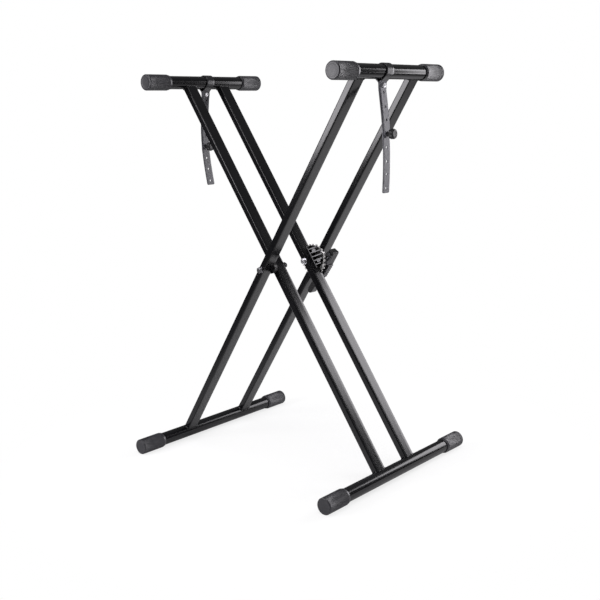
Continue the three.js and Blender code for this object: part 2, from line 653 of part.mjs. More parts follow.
// the pawl is riveted to the lever and reaches over the rim of the disc
const pawlBack = leverY0 - SEAT_GAP;
function lockPawl() {
  const frontR = DISC_R + PAWL_CLEAR;
  const tipR = DISC_ROOT_R + PAWL_TIP_CLEAR;
  const backR = frontR + PAWL_BAR;
  const bar = [
    [backR, -PAWL_HALF], [backR, PAWL_HALF], [frontR, PAWL_HALF], [frontR, PAWL_NOSE_HALF],
    [tipR, PAWL_TIP_HALF], [tipR, -PAWL_TIP_HALF], [frontR, -PAWL_NOSE_HALF], [frontR, -PAWL_HALF],
  ];
  const turned = bar.map(([along, across]) => [
    along * Math.cos(radians(PAWL_ANGLE)) - across * Math.sin(radians(PAWL_ANGLE)),
    along * Math.sin(radians(PAWL_ANGLE)) + across * Math.cos(radians(PAWL_ANGLE)),
  ]);
  const body = joined(
    plateY(PAWL_PLATE_OUTLINE, pawlBack - PAWL_PLATE, pawlBack),
    plateY(turned, discFront + SEAT_GAP, pawlBack),
  );
  const holes = PAWL_RIVETS.map(([x, z]) => rodY(clearR(PAWL_RIVET_R), pawlBack - 10, pawlBack + 1, x, z, 10));
  return cut(body, ...holes);
}
addPart(outerFrame, 'lock_pawl', lockPawl(), DARK_STEEL);

function pawlRivet(x, z) {
  const front = pawlBack - PAWL_PLATE - SEAT_GAP;
  const inside = leverY0 + LEVER_SIDE + SEAT_GAP;
  return joined(
    rodY(PAWL_RIVET_HEAD_R, front - PAWL_RIVET_HEAD, front, x, z, 12),
    rodY(PAWL_RIVET_R, front - 1, inside + 1, x, z, 10),
    rodY(PAWL_RIVET_HEAD_R, inside, inside + PAWL_RIVET_HEAD, x, z, 12),
  );
}
PAWL_RIVETS.forEach(([x, z], i) => addPart(outerFrame, `pawl_rivet_${i + 1}`, pawlRivet(x, z), ZINC));

// torsion spring round the pin, inside the lever
function leverSpring() {
  const points = [];
  const middle = (leverY0 + leverY1) / 2;
  const firstY = middle - (SPRING_TURNS * SPRING_PITCH) / 2;
  const total = SPRING_TURNS * SPRING_STEPS;
  const at = (i) => {
    const angle = Math.PI + (i / SPRING_STEPS) * Math.PI * 2;
    const y = firstY + (i / SPRING_STEPS) * SPRING_PITCH;
    const x = LEVER_PIN_X + SPRING_COIL_R * Math.cos(angle);
    return new THREE.Vector3(x, y, LEVER_PIN_Z + SPRING_COIL_R * Math.sin(angle));
  };
  points.push(at(0).add(new THREE.Vector3(0, -SPRING_LEG_LEAN, SPRING_LEG)));
  for (let i = 0; i <= total; i += 1) {
    points.push(at(i));
  }
  points.push(at(total).add(new THREE.Vector3(0, SPRING_LEG_LEAN, -SPRING_LEG)));
  let leastGap = Infinity;
  points.forEach((one, i) => {
    points.slice(i + SPRING_STEPS - 1).forEach((two) => {
      leastGap = Math.min(leastGap, one.distanceTo(two) - 2 * SPRING_WIRE_R);
    });
  });
  console.log(`lever spring: least gap to itself ${leastGap.toFixed(2)} mm`);
  const path = new THREE.CatmullRomCurve3(points);
  const wire = shapeOf(circle(0, 0, SPRING_WIRE_R, SPRING_SIDES));
  const steps = total + 6;
  return outward(new THREE.ExtrudeGeometry(wire, { steps, bevelEnabled: false, extrudePath: path }));
}
addPart(outerFrame, 'lever_spring', leverSpring(), ZINC);

// ---- straps: one strip each, over the top tube, with a short front tail and a long back tail
function strapCentreline(knobZ, frontEnd, bend, lean) {
  const ringR = clearR(TUBE_R) + STRAP_THICK / 2;
  const half = (STRAP_GAP + STRAP_THICK) / 2;
  const leave = radians(STRAP_LEAVE);
  const meetZ = -ringR * Math.cos(leave) - (ringR * Math.sin(leave) - half) * Math.tan(leave);
  // the tails hang in one shallow bow, flat at the rivet and at the knob
  const bowTop = STRAP_RIVET_Z - STRAP_RIVET_HEAD_R - 1;
  const flatHalf = STUD_HEAD_R + 1;
  const shift = (z) => {
    const level = Math.abs(z - knobZ) <= flatHalf ? knobZ : z;
    const share = Math.min(1, Math.max(0, (bowTop - level) / (bowTop + STRAP_TAIL)));
    return bend * Math.sin(Math.PI * share) + lean * share;
  };
  const tail = (side, end) => {
    const levels = [meetZ, bowTop, knobZ + flatHalf, knobZ - flatHalf, end];
    for (let i = 1; i < STRAP_BEND_STEPS; i += 1) {
      const z = bowTop - ((bowTop + STRAP_TAIL) * i) / STRAP_BEND_STEPS;
      const apart = levels.every((level) => Math.abs(level - z) > 3);
      if (apart && z > end && Math.abs(z - knobZ) > flatHalf) {
        levels.push(z);
      }
    }
    return levels.filter((z) => z >= end).sort((a, b) => b - a).map((z) => [side * half + shift(z), z]);
  };
  const ring = [];
  for (let i = 0; i <= STRAP_RING_STEPS; i += 1) {
    const angle = leave + ((2 * Math.PI - 2 * leave) * i) / STRAP_RING_STEPS;
    ring.push([ringR * Math.sin(angle), -ringR * Math.cos(angle)]);
  }
  const front = tail(1, frontEnd);
  return { line: [...front.toReversed(), ...ring, ...tail(-1, -STRAP_TAIL)], front, shift, half };
}

function thickened(line, thick) {
  const left = [];
  const right = [];
  line.forEach(([x, z], i) => {
    const [px, pz] = line[Math.max(0, i - 1)];
    const [nx, nz] = line[Math.min(line.length - 1, i + 1)];
    const before = new THREE.Vector2(x - px, z - pz).normalize();
    const after = new THREE.Vector2(nx - x, nz - z).normalize();
    const along = before.clone().add(after).normalize();
    const stretch = i === 0 || i === line.length - 1 ? 1 : 1 / Math.max(0.7, along.dot(after));
    const reach = (thick / 2) * stretch;
    left.push([x - along.y * reach, z + along.x * reach]);
    right.push([x + along.y * reach, z - along.x * reach]);
  });
  return [...left, ...right.reverse()];
}

// rounds the two corners at the end of a tail
function endTrim(x, end, wide, corner) {
  const half = wide / 2;
  const reach = (STRAP_THICK + STRAP_GAP) / 2;
  const top = end + corner;
  const square = block(x - reach, x + reach, -STRAP_WIDE, STRAP_WIDE, end - 1, top);
  const outline = [[half, top + 1], [-half, top + 1]];
  for (let i = 0; i <= STRAP_CORNER_STEPS; i += 1) {
    const angle = (i / STRAP_CORNER_STEPS) * (Math.PI / 2);
    outline.push([-half + corner - corner * Math.cos(angle), top - corner * Math.sin(angle)]);
  }
  for (let i = STRAP_CORNER_STEPS; i >= 0; i -= 1) {
    const angle = (i / STRAP_CORNER_STEPS) * (Math.PI / 2);
    outline.push([half - corner + corner * Math.cos(angle), top - corner * Math.sin(angle)]);
  }
  return cut(square, plateX(outline, x - reach - 1, x + reach + 1));
}

// slides the loop along the tube, nothing at its foot and all of it at its crown
function skewed(geometry, amount) {
  const reach = clearR(TUBE_R) + STRAP_THICK;
  const position = geometry.attributes.position;
  for (let i = 0; i < position.count; i += 1) {
    const share = THREE.MathUtils.clamp((position.getZ(i) + reach) / (2 * reach), 0, 1);
    position.setY(i, position.getY(i) + amount * share);
  }
  return geometry;
}

function buildStrap(frameGroup, frameLean, { side, y, knobHole, bend, lean, skew }) {
  const group = new THREE.Group();
  group.name = `${side}_strap_group`;
  group.position.set(0, y, UPPER_ARM);
  group.rotation.y = -frameLean;
  frameGroup.add(group);
  const knobZ = -(STRAP_HOLE_FIRST + knobHole * STRAP_HOLE_PITCH);
  const frontEnd = knobZ - STRAP_TAIL_PAST_KNOB;
  const { line, front, shift, half } = strapCentreline(knobZ, frontEnd, bend, lean);
  const strip = plateY(thickened(line, STRAP_THICK), -STRAP_WIDE / 2, STRAP_WIDE / 2);
  const drillReach = STRAP_THICK + STRAP_GAP + 1;
  const drills = [];
  for (let i = 0; i < STRAP_HOLES; i += 1) {
    const z = -(STRAP_HOLE_FIRST + i * STRAP_HOLE_PITCH);
    const radius = i === knobHole ? clearR(STUD_R) : STRAP_HOLE_R;
    drills.push(rodX(radius, shift(z) - drillReach, shift(z) + drillReach, 0, z, 10));
  }
  drills.push(rodX(clearR(STRAP_RIVET_R), -drillReach, drillReach, 0, STRAP_RIVET_Z, 12));
  drills.push(endTrim(shift(frontEnd) + half, frontEnd, STRAP_FRONT_WIDE, STRAP_FRONT_ROUND));
  drills.push(endTrim(shift(-STRAP_TAIL) - half, -STRAP_TAIL, STRAP_WIDE, STRAP_CORNER));
  // the front tail is trimmed along both edges, from the rivet down
  const levels = [...front.map(([, z]) => z).filter((z) => z < STRAP_RIVET_Z), frontEnd - 1];
  const inside = levels.map((z) => [shift(z), z]);
  const outside = levels.map((z) => [shift(z) + 2 * half + 1, z]).reverse();
  for (const sign of [1, -1]) {
    const edges = [(sign * STRAP_FRONT_WIDE) / 2, sign * STRAP_WIDE].sort((a, b) => a - b);
    drills.push(plateY([...inside, ...outside], edges[0], edges[1]));
  }
  addPart(group, `${side}_strap`, skewed(cut(strip, ...drills), skew), STRAP_RUBBER);

  const face = half + STRAP_THICK / 2 + SEAT_GAP;
  const rivet = joined(
    rodX(STRAP_RIVET_R, -face - 1, face + 1, 0, STRAP_RIVET_Z, 12),
    rodX(STRAP_RIVET_HEAD_R, face, face + STRAP_RIVET_HEAD, 0, STRAP_RIVET_Z, 16),
    rodX(STRAP_RIVET_HEAD_R, -face - STRAP_RIVET_HEAD, -face, 0, STRAP_RIVET_Z, 16),
  );
  addPart(group, `${side}_strap_rivet`, rivet, ZINC);

  const knobX = shift(knobZ);
  const headX = KNOB_NECK + face;
  const stud = joined(
    rodX(STUD_HEAD_R, -face - STUD_HEAD, -face, 0, 0, 16),
    rodX(STUD_R, -face - 1, headX + STUD_IN_KNOB, 0, 0, 12),
  );
  addPart(group, `${side}_strap_stud`, stud, ZINC, { x: knobX, z: knobZ });
  const lobes = [];
  for (let i = 0; i < KNOB_LOBES * 2; i += 1) {
    const radius = KNOB_R - (i % 2) * KNOB_LOBE_DEPTH;
    const angle = (i / (KNOB_LOBES * 2)) * Math.PI * 2;
    lobes.push([radius * Math.cos(angle), radius * Math.sin(angle)]);
  }
  const knob = cut(
    joined(
      rodX(KNOB_NECK_R, face, headX + 1, 0, 0, 16),
      plateX(lobes, headX, headX + KNOB_LENGTH - KNOB_EDGE),
      rodX(KNOB_R - KNOB_LOBE_DEPTH - KNOB_STEP, headX + 1, headX + KNOB_LENGTH, 0, 0, 16),
    ),
    rodX(clearR(STUD_R), face - 1, headX + STUD_IN_KNOB + SEAT_GAP, 0, 0, 12),
  );
  addPart(group, `${side}_strap_knob`, knob, BLACK_PLASTIC, { x: knobX, z: knobZ });
}
buildStrap(innerFrame, -radians(LEAN), STRAP_SIDES[0]);
buildStrap(outerFrame, radians(LEAN), STRAP_SIDES[1]);

export default stand;
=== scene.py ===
"""Looks for the folding keyboard stand, in metres: +Z up, Y along the tubes."""
import json
import math
from bisect import bisect_right
import bmesh
import bpy
from mathutils import Matrix, Vector
from mathutils.geometry import delaunay_2d_cdt


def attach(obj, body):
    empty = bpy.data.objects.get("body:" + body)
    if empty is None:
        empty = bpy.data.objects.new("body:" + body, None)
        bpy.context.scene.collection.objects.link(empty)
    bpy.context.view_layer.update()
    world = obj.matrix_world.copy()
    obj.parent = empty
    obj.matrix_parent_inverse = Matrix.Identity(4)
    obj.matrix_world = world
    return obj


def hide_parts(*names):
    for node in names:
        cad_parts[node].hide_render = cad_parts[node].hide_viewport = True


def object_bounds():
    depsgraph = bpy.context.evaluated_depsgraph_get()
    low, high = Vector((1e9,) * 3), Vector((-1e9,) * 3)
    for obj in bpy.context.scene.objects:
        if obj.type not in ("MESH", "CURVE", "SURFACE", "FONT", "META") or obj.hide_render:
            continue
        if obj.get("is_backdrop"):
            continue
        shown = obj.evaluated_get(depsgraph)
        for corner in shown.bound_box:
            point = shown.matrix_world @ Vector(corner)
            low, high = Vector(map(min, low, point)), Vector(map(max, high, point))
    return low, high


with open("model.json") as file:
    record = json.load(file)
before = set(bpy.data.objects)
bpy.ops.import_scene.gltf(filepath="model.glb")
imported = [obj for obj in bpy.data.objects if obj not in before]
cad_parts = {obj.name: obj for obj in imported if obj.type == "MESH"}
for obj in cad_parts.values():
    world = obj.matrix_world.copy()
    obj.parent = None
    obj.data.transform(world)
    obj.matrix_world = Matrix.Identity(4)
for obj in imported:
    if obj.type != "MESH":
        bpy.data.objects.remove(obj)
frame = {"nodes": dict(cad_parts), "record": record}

cad_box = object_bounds()
nodes = frame["nodes"]
MM = 0.001

# ---- sizes shared with the solids, in millimetres
LEAN = math.radians(33.155)  # of each frame from upright
UPPER_ARM = 494.0
LOWER_ARM = 516.5
FLOOR_DROP = 17.4  # from a foot tube's axis to the floor
INNER_LEG_Y = 53.6
OUTER_LEG_Y = 94.2
TUBE_R = 15.0
TUBE_BORE = 13.5
CAP_R = 18.0
CAP_LENGTH = 66.0
CAP_END = 4.0
CAP_MOUTH_R = 15.3
TOP_SPAN = 361.0
FOOT_SPAN = 498.0
LEG_WIDE = 30.0  # along Y
LEG_THIN = 15.0
LEG_CORNER = 2.2
GAP = 0.3  # between pieces that touch in the real stand
PIVOT_Z = FLOOR_DROP + LOWER_ARM * math.cos(LEAN)

# ---- camera: solved on the photograph
CAMERA_PLACE = Vector((1.40066, -1.57828, 0.78362))
CAMERA_YAW = math.radians(41.2587)
CAMERA_PITCH = math.radians(-11.2586)
CAMERA_ROLL = math.radians(-1.547)
FOCAL_SHARE = 931.97 / 600.0  # focal length as a share of the picture's width
SENSOR_WIDTH = 36.0
CLIP_END = 50.0


def set_camera():
    """Pinhole camera at the photograph's viewpoint, square picture."""
    yaw, pitch, roll = CAMERA_YAW, CAMERA_PITCH, CAMERA_ROLL
    level = math.cos(pitch)
    forward = Vector((-math.sin(yaw) * level, math.cos(yaw) * level, math.sin(pitch)))
    right = Vector((math.cos(yaw), math.sin(yaw), 0.0))
    up = right.cross(forward)
    right_rolled = math.cos(roll) * right + math.sin(roll) * up
    up_rolled = -math.sin(roll) * right + math.cos(roll) * up
    turn = Matrix((right_rolled, up_rolled, -forward)).transposed()
    data = bpy.data.cameras.new("camera")
    data.sensor_fit = "HORIZONTAL"
    data.sensor_width = SENSOR_WIDTH
    data.lens = SENSOR_WIDTH * FOCAL_SHARE
    data.clip_end = CLIP_END
    camera = bpy.data.objects.new("camera", data)
    camera.matrix_world = Matrix.Translation(CAMERA_PLACE) @ turn.to_4x4()
    bpy.context.scene.collection.objects.link(camera)
    bpy.context.scene.camera = camera


set_camera()

# ---- shader maths
# colour inputs and output of a Mix node, which has a set of sockets for each kind of data
MIX_FIRST, MIX_SECOND, MIX_RESULT = 6, 7, 2


class Wire:
    """A value socket that takes part in Python expressions."""

    def __init__(self, paint, socket):
        self.paint = paint
        self.socket = socket

    def _math(self, operation, *values):
        return self.paint.node("ShaderNodeMath", {"operation": operation}, dict(enumerate(values)))

    def __add__(self, other):
        return self._math("ADD", self, other)

    def __radd__(self, other):
        return self._math("ADD", other, self)

    def __sub__(self, other):
        return self._math("SUBTRACT", self, other)

    def __rsub__(self, other):
        return self._math("SUBTRACT", other, self)

    def __mul__(self, other):
        return self._math("MULTIPLY", self, other)

    def __rmul__(self, other):
        return self._math("MULTIPLY", other, self)


class Paint:
    """A material being built: one method adds any node and links its sockets."""

    def __init__(self, name):
        self.material = bpy.data.materials.new(name)
        self.material.use_nodes = True
        self.tree = self.material.node_tree
        self.tree.nodes.clear()
        self.out = self.tree.nodes.new("ShaderNodeOutputMaterial")

    @classmethod
    def on_tree(cls, tree, output):
        """Works on a node tree that exists, such as the world's."""
        paint = cls.__new__(cls)
        paint.tree = tree
        tree.nodes.clear()
        paint.out = tree.nodes.new(output)
        return paint

    def node(self, kind, settings=None, sockets=None, result=0):
        """Adds a node whose sockets take values or wires, and gives the wire of one output."""
        made = self.tree.nodes.new(kind)
        for key, value in (settings or {}).items():
            setattr(made, key, value)
        for key, value in (sockets or {}).items():
            socket = made.inputs[key]
            if isinstance(value, Wire):
                self.tree.links.new(value.socket, socket)
            else:
                socket.default_value = value
        return Wire(self, made.outputs[result])

    def place(self):
        """Position on the piece at rest, in metres."""
        return self.node("ShaderNodeTexCoord", result="Object")

    def axis(self, at, letter):
        """X, Y or Z of a vector."""
        return self.node("ShaderNodeSeparateXYZ", sockets={0: at}, result=letter)

    def measure(self, operation, *vectors):
        """A number worked out from vectors, such as their LENGTH or DOT_PRODUCT."""
        settings = {"operation": operation}
        return self.node("ShaderNodeVectorMath", settings, dict(enumerate(vectors)), result="Value")

    def ray(self, kind):
        """One where the ray is of a kind, such as Camera, and nought elsewhere."""
        return self.node("ShaderNodeLightPath", result=f"Is {kind} Ray")

    def noise(self, scale, detail, rough, stretch=None):
        at = self.place()
        if stretch:
            at = self.node("ShaderNodeMapping", sockets={"Vector": at, "Scale": stretch})
        sockets = {"Vector": at, "Scale": scale, "Detail": detail, "Roughness": rough}
        return self.node("ShaderNodeTexNoise", sockets=sockets)

    def band(self, value, low, high, to_low=0.0, to_high=1.0):
        """Moves a value from one range to another, held at the ends."""
        sockets = {0: value, 1: low, 2: high, 3: to_low, 4: to_high}
        return self.node("ShaderNodeMapRange", {"clamp": True}, sockets)

    def blend(self, share, first, second):
        """Mix of two colours, each a colour or a wire."""
        first = first if isinstance(first, Wire) else (*first, 1.0)
        second = second if isinstance(second, Wire) else (*second, 1.0)
        settings = {"data_type": "RGBA", "clamp_factor": True}
        sockets = {0: share, MIX_FIRST: first, MIX_SECOND: second}
        return self.node("ShaderNodeMix", settings, sockets, result=MIX_RESULT)

    def bump(self, height, strength, distance):
        sockets = {"Height": height, "Strength": strength, "Distance": distance}
        return self.node("ShaderNodeBump", sockets=sockets)

    def finish(self, **sockets):
        """Ends a material in one surface whose sockets are given with underscores for spaces."""
        named = {key.replace("_", " "): value for key, value in sockets.items()}
        surface = self.node("ShaderNodeBsdfPrincipled", sockets=named)
        self.tree.links.new(surface.socket, self.out.inputs["Surface"])
        return self.material


def lighter(colour, times):
    return tuple(v * times for v in colour)


def powder_coat(name, base, low, high):
    """Satin powder coat of roughness low to high: a fine pebbled skin, dusted in patches."""
    p = Paint(name)
    patches = p.noise(9.0, 4.0, 0.55)
    pebbles = p.noise(900.0, 2.0, 0.5)
    ripple = p.noise(160.0, 2.0, 0.4)
    dust = p.band(patches, 0.42, 0.72)
    return p.finish(
        Base_Color=p.blend(dust * 0.6, base, lighter(base, 1.9)),
        Roughness=p.band(pebbles * 0.4 + patches * 0.6, 0.3, 0.7, low, high),
        Specular_IOR_Level=0.3,
        Normal=p.bump(pebbles * 0.35 + ripple * 0.65, 0.2, 0.00001),
    )


LOOP_FADE = 0.004  # metres over which a strap darkens towards its loop
LOOP_ROUGHNESS = 0.28


def moulded_rubber(name, base, bloom, roughness, grain_size, depth, loop=None):
    """Rubber mottled by a pale bloom, with a fine moulded grain.

    A loop, given as the height where it starts and a colour, is the part of a strap above that
    height: it is given that darker colour and made glossier.
    """
    p = Paint(name)
    cloud = p.noise(38.0, 4.0, 0.6)
    grain = p.noise(grain_size, 3.0, 0.6)
    colour = p.blend(p.band(cloud * 0.85 + grain * 0.15, 0.38, 0.66), base, bloom)
    mottle = cloud * 0.6 + grain * 0.4
    rough = p.band(mottle, 0.3, 0.7, roughness - 0.05, roughness + 0.05)
    if loop:
        level, dark = loop
        loop_share = p.band(p.axis(p.place(), "Z"), level, level + LOOP_FADE)
        colour = p.blend(loop_share, colour, dark)
        rough = rough - loop_share * (roughness - LOOP_ROUGHNESS)
    return p.finish(
        Base_Color=colour,
        Roughness=rough,
        Specular_IOR_Level=0.5,
        Normal=p.bump(grain, 0.4, depth),
    )


def moulded_plastic(name, base, roughness):
    """Black moulded plastic with a faint sheen of flow and a fine spark texture."""
    p = Paint(name)
    flow = p.noise(26.0, 3.0, 0.5, stretch=(1.0, 1.0, 0.35))
    spark = p.noise(1400.0, 2.0, 0.6)
    worn = spark * 0.5 + flow * 0.5
    return p.finish(
        Base_Color=p.blend(p.band(flow, 0.4, 0.7), base, lighter(base, 2.2)),
        Roughness=p.band(worn, 0.3, 0.7, roughness - 0.07, roughness + 0.07),
        Specular_IOR_Level=0.4,
        Normal=p.bump(spark, 0.25, 0.00012),
    )


# front of the lock cover in the inner frame: from and to across the leg, then its y at each
COVER_SLOPE = (9.8, 33.2, 57.0, 66.1)
COVER_FRONT = (-0.00005, 0.0009)  # metres past that front where the painted highlight fades from pale to the plastic's black


def ribbed_plastic(name, base, highlight_colour, roughness):
    """Black moulded cover with a pale painted highlight on its rib fronts and leg-side edge; its
    pockets keep the plastic's black.
    """
    p = Paint(name)
    spark = p.noise(1200.0, 2.0, 0.6)
    place = p.place()
    across = p.measure("DOT_PRODUCT", place, (math.cos(LEAN), 0.0, math.sin(LEAN)))
    across = across - PIVOT_Z * MM * math.sin(LEAN)
    front = p.band(across, *(v * MM for v in COVER_SLOPE))
    # painted highlight: parts at or proud of the cover's front are painted pale
    highlight_share = p.band(p.axis(place, "Y") - front, *COVER_FRONT, 1.0, 0.0)
    return p.finish(
        Base_Color=p.blend(highlight_share * p.band(spark, 0.2, 0.5, 0.8, 1.0), base, highlight_colour),
        Roughness=p.band(spark, 0.3, 0.7, roughness - 0.05, roughness + 0.06),
        Specular_IOR_Level=0.3,
        Normal=p.bump(spark, 0.2, 0.00006),
    )


def plated_steel(name, bright, dull, roughness, metal):
    """Plated steel: drawn streaks and a cloudy passivated tint."""
    p = Paint(name)
    cloud = p.noise(120.0, 3.0, 0.6)
    streak = p.noise(420.0, 2.0, 0.5, stretch=(1.0, 0.12, 1.0))
    drawn = streak * 0.6 + cloud * 0.4
    return p.finish(
        Base_Color=p.blend(p.band(cloud, 0.35, 0.7), bright, dull),
        Metallic=metal,
        Roughness=p.band(drawn, 0.3, 0.7, roughness - 0.08, roughness + 0.1),
        Normal=p.bump(streak, 0.2, 0.00008),
    )


LOOP_START = 21.0  # below the top tube's axis
LOOP_LEVEL = (PIVOT_Z + UPPER_ARM * math.cos(LEAN) - LOOP_START) * MM
LOOP = (LOOP_LEVEL, (0.008, 0.008, 0.01))
COVER_PLASTIC = ribbed_plastic("ribbed_cover", (0.003, 0.003, 0.0035), (0.34, 0.34, 0.35), 0.42)
BLACK_COAT = powder_coat("satin_black_coat", (0.0038, 0.0038, 0.0046), low=0.12, high=0.18)
CAP_RUBBER = moulded_rubber(
    "cap_rubber", (0.016, 0.0155, 0.0195), (0.02, 0.0195, 0.0245), 0.42, 700.0, 0.000005)
# painted shade: the left strap's rubber is a darker copy of the right strap's, standing in for the
# shadow on it
LEFT_RUBBER = moulded_rubber(
    "strap_rubber", (0.06, 0.06, 0.068), (0.082, 0.082, 0.094), 0.5, 520.0, 0.00003, loop=LOOP)
RIGHT_RUBBER = moulded_rubber(
    "lighter_strap_rubber", (0.125, 0.125, 0.14), (0.155, 0.155, 0.176), 0.5, 520.0, 0.00003,
    loop=LOOP)
BLACK_PLASTIC = moulded_plastic("black_plastic", (0.0065, 0.0065, 0.007), 0.42)
ZINC = plated_steel("bright_zinc", (0.86, 0.86, 0.89), (0.7, 0.7, 0.74), 0.24, 1.0)
# painted shade: a darker copy of bright_zinc for the near pivot bolt and its washer, whose
# reflections are dark
SHADED_ZINC = plated_steel("zinc_painted_shade", (0.27, 0.27, 0.28), (0.18, 0.18, 0.19), 0.26, 1.0)
DISC_ZINC = plated_steel("rolled_zinc", (0.78, 0.77, 0.76), (0.6, 0.59, 0.58), 0.42, 0.55)
RIVET_ZINC = plated_steel("domed_zinc", (0.86, 0.86, 0.88), (0.74, 0.74, 0.77), 0.36, 0.45)
DARK_STEEL = plated_steel("dark_steel", (0.11, 0.11, 0.12), (0.06, 0.06, 0.066), 0.34, 1.0)
PAWL_STEEL = plated_steel("dull_steel", (0.09, 0.09, 0.095), (0.05, 0.05, 0.054), 0.38, 0.9)

# ---- spaces of the two frames: x across the leg, y along the tubes, z up the leg
PIVOT = Matrix.Translation((0, 0, PIVOT_Z * MM))
INNER = PIVOT @ Matrix.Rotation(-LEAN, 4, "Y")
OUTER = PIVOT @ Matrix.Rotation(LEAN, 4, "Y")
SPACES = {"inner": INNER, "outer": OUTER}


def at_tube(space, z):
    """An upright space at the middle of a round tube, z up the leg in a frame's space."""
    return Matrix.Translation(space @ Vector((0, 0, z * MM)))


# ---- mesh tools, in millimetres
SHARP = math.radians(38)
AXIS_R = 0.02  # smallest radius of a ring, where a profile meets its axis
MERGE = 1e-4


def make_piece(name, bm, space, body, material, replaced):
    """Turns millimetre geometry in a space into a piece that rides on a body."""
    bmesh.ops.remove_doubles(bm, verts=bm.verts, dist=MERGE)
    bmesh.ops.recalc_face_normals(bm, faces=bm.faces)
    for face in bm.faces:
        face.smooth = True
    for edge in bm.edges:
        edge.smooth = len(edge.link_faces) == 2 and edge.calc_face_angle(0.0) < SHARP
    bmesh.ops.transform(bm, matrix=space @ Matrix.Scale(MM, 4), verts=bm.verts)
    mesh = bpy.data.meshes.new(name)
    bm.to_mesh(mesh)
    bm.free()
    piece = bpy.data.objects.new(name, mesh)
    bpy.context.scene.collection.objects.link(piece)
    mesh.materials.append(material)
    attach(piece, body)
    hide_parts(*replaced)
    return piece


def loft(bm, rings, around=False):
    """Skins closed rings of points. The ends are capped, or joined where the rings run round."""
    made = [[bm.verts.new(point) for point in ring] for ring in rings]
    count = len(made[0])
    pairs = list(zip(made, made[1:])) + ([(made[-1], made[0])] if around else [])
    for low, high in pairs:
        for i in range(count):
            j = (i + 1) % count
            bm.faces.new((low[i], low[j], high[j], high[i]))
    if not around:
        bm.faces.new(list(reversed(made[0])))
        bm.faces.new(made[-1])


def turned(bm, profile, sides, place, closed=False):
    """Skins a body turned about a line.

    The profile has (radius, along) rows, or (radius, along, shape) rows where shape gives a
    share of the radius by angle. place makes a point from along and the two ways across.
    """
    rings = []
    for radius, along, *shape in profile:
        ring = []
        for i in range(sides):
            angle = 2 * math.pi * i / sides
            reach = max(radius, AXIS_R) * (shape[0](angle) if shape else 1.0)
            ring.append(place(along, reach * math.cos(angle), reach * math.sin(angle)))
        rings.append(ring)
    loft(bm, rings, around=closed)


def turn_y(bm, profile, sides, x=0.0, z=0.0, closed=False):
    turned(bm, profile, sides, lambda along, a, b: (x + a, along, z + b), closed)


def turn_x(bm, profile, sides, y=0.0, z=0.0):
    turned(bm, profile, sides, lambda along, a, b: (along, y + a, z + b))


def hexagon(angle):
    """Radius share of a hexagon with corners at whole sixths of a turn."""
    part = (angle % (math.pi / 3)) - math.pi / 6
    return math.cos(math.pi / 6) / math.cos(part)


# ---- round tubes
TUBE_LEVELS = {"top": UPPER_ARM, "foot": -LOWER_ARM}


def tube_piece(frame_name, level, span):
    half = span / 2 - CAP_END - GAP
    rows = [
        (TUBE_BORE, -half), (TUBE_R, -half), (TUBE_R, 0), (TUBE_R, half), (TUBE_BORE, half),
    ]
    bm = bmesh.new()
    turn_y(bm, rows, 96, closed=True)
    tube = f"{frame_name}_{level}_tube"
    space = at_tube(SPACES[frame_name], TUBE_LEVELS[level])
    body = f"{frame_name}_frame"
    make_piece(f"{tube}_coated", bm, space, body, BLACK_COAT, [tube])


# ---- rubber caps with fine flutes
FLUTES = 54
FLUTE_DEPTH = 0.028
FLUTE_SIDES = 6  # points across a flute


def fluted(angle):
    wave = 0.5 - 0.5 * math.cos(FLUTES * angle)
    return 1.0 - FLUTE_DEPTH * wave ** 1.6


# radius and distance from the closed end: over the rounded end, along the flutes, past the
# rounded lip and back in to the face that meets the tube
CAP_ROWS = [
    (0.0, 0.25), (6.0, 0.25), (11.4, 0.22), (12.2, 0.12), (12.7, 0.02), (15.2, 0.0),
    (16.4, 0.15), (17.3, 0.6), (17.8, 1.3), (CAP_R, 2.2), (CAP_R, 3.0, fluted),
    (CAP_R, 24.0, fluted), (CAP_R, 59.5, fluted), (CAP_R, 60.4), (17.9, 61.0), (17.2, 63.2),
    (16.8, 65.0), (16.7, 65.6), (16.4, CAP_LENGTH), (15.5, CAP_LENGTH),
    (CAP_MOUTH_R, CAP_LENGTH - 0.6), (CAP_MOUTH_R, CAP_END), (0.0, CAP_END),
]


def cap_piece(frame_name, level, end, span):
    way = 1 if end == "near" else -1
    start = -span / 2
    bm = bmesh.new()
    rows = [(radius, way * (start + along), *shape) for radius, along, *shape in CAP_ROWS]
    turn_y(bm, rows, FLUTES * FLUTE_SIDES)
    cap = f"{frame_name}_{level}_{end}_cap"
    space = at_tube(SPACES[frame_name], TUBE_LEVELS[level])
    body = f"{frame_name}_frame"
    piece = make_piece(f"{cap}_fluted", bm, space, body, CAP_RUBBER, [cap])
    if level == "foot":
        for vertex in piece.data.vertices:
            vertex.co.z = max(vertex.co.z, 0.0)


for frame_name in SPACES:
    for level, span in (("top", TOP_SPAN), ("foot", FOOT_SPAN)):
        tube_piece(frame_name, level, span)
        for end in ("near", "far"):
            cap_piece(frame_name, level, end, span)

# ---- box legs with welded, coped ends
CORNERS = ((1, 1), (-1, 1), (-1, -1), (1, -1))
CORNER_STEPS = 6
LEG_LEVELS = (20 - LOWER_ARM, -380, -250, -120, 0, 120, 250, 380, UPPER_ARM - 20)
BEAD_R = 1.55
BEAD_SIT = 0.5  # of the bead's middle above the tube
BEAD_STEP = 1.1
BEAD_SIDES = 8


def corner_point(quarter, angle):
    """A point on a rounded corner of the leg's section, x then y."""
    x_way, y_way = CORNERS[quarter % 4]
    return (
        x_way * (LEG_THIN / 2 - LEG_CORNER) + LEG_CORNER * math.cos(angle),
        y_way * (LEG_WIDE / 2 - LEG_CORNER) + LEG_CORNER * math.sin(angle),
    )


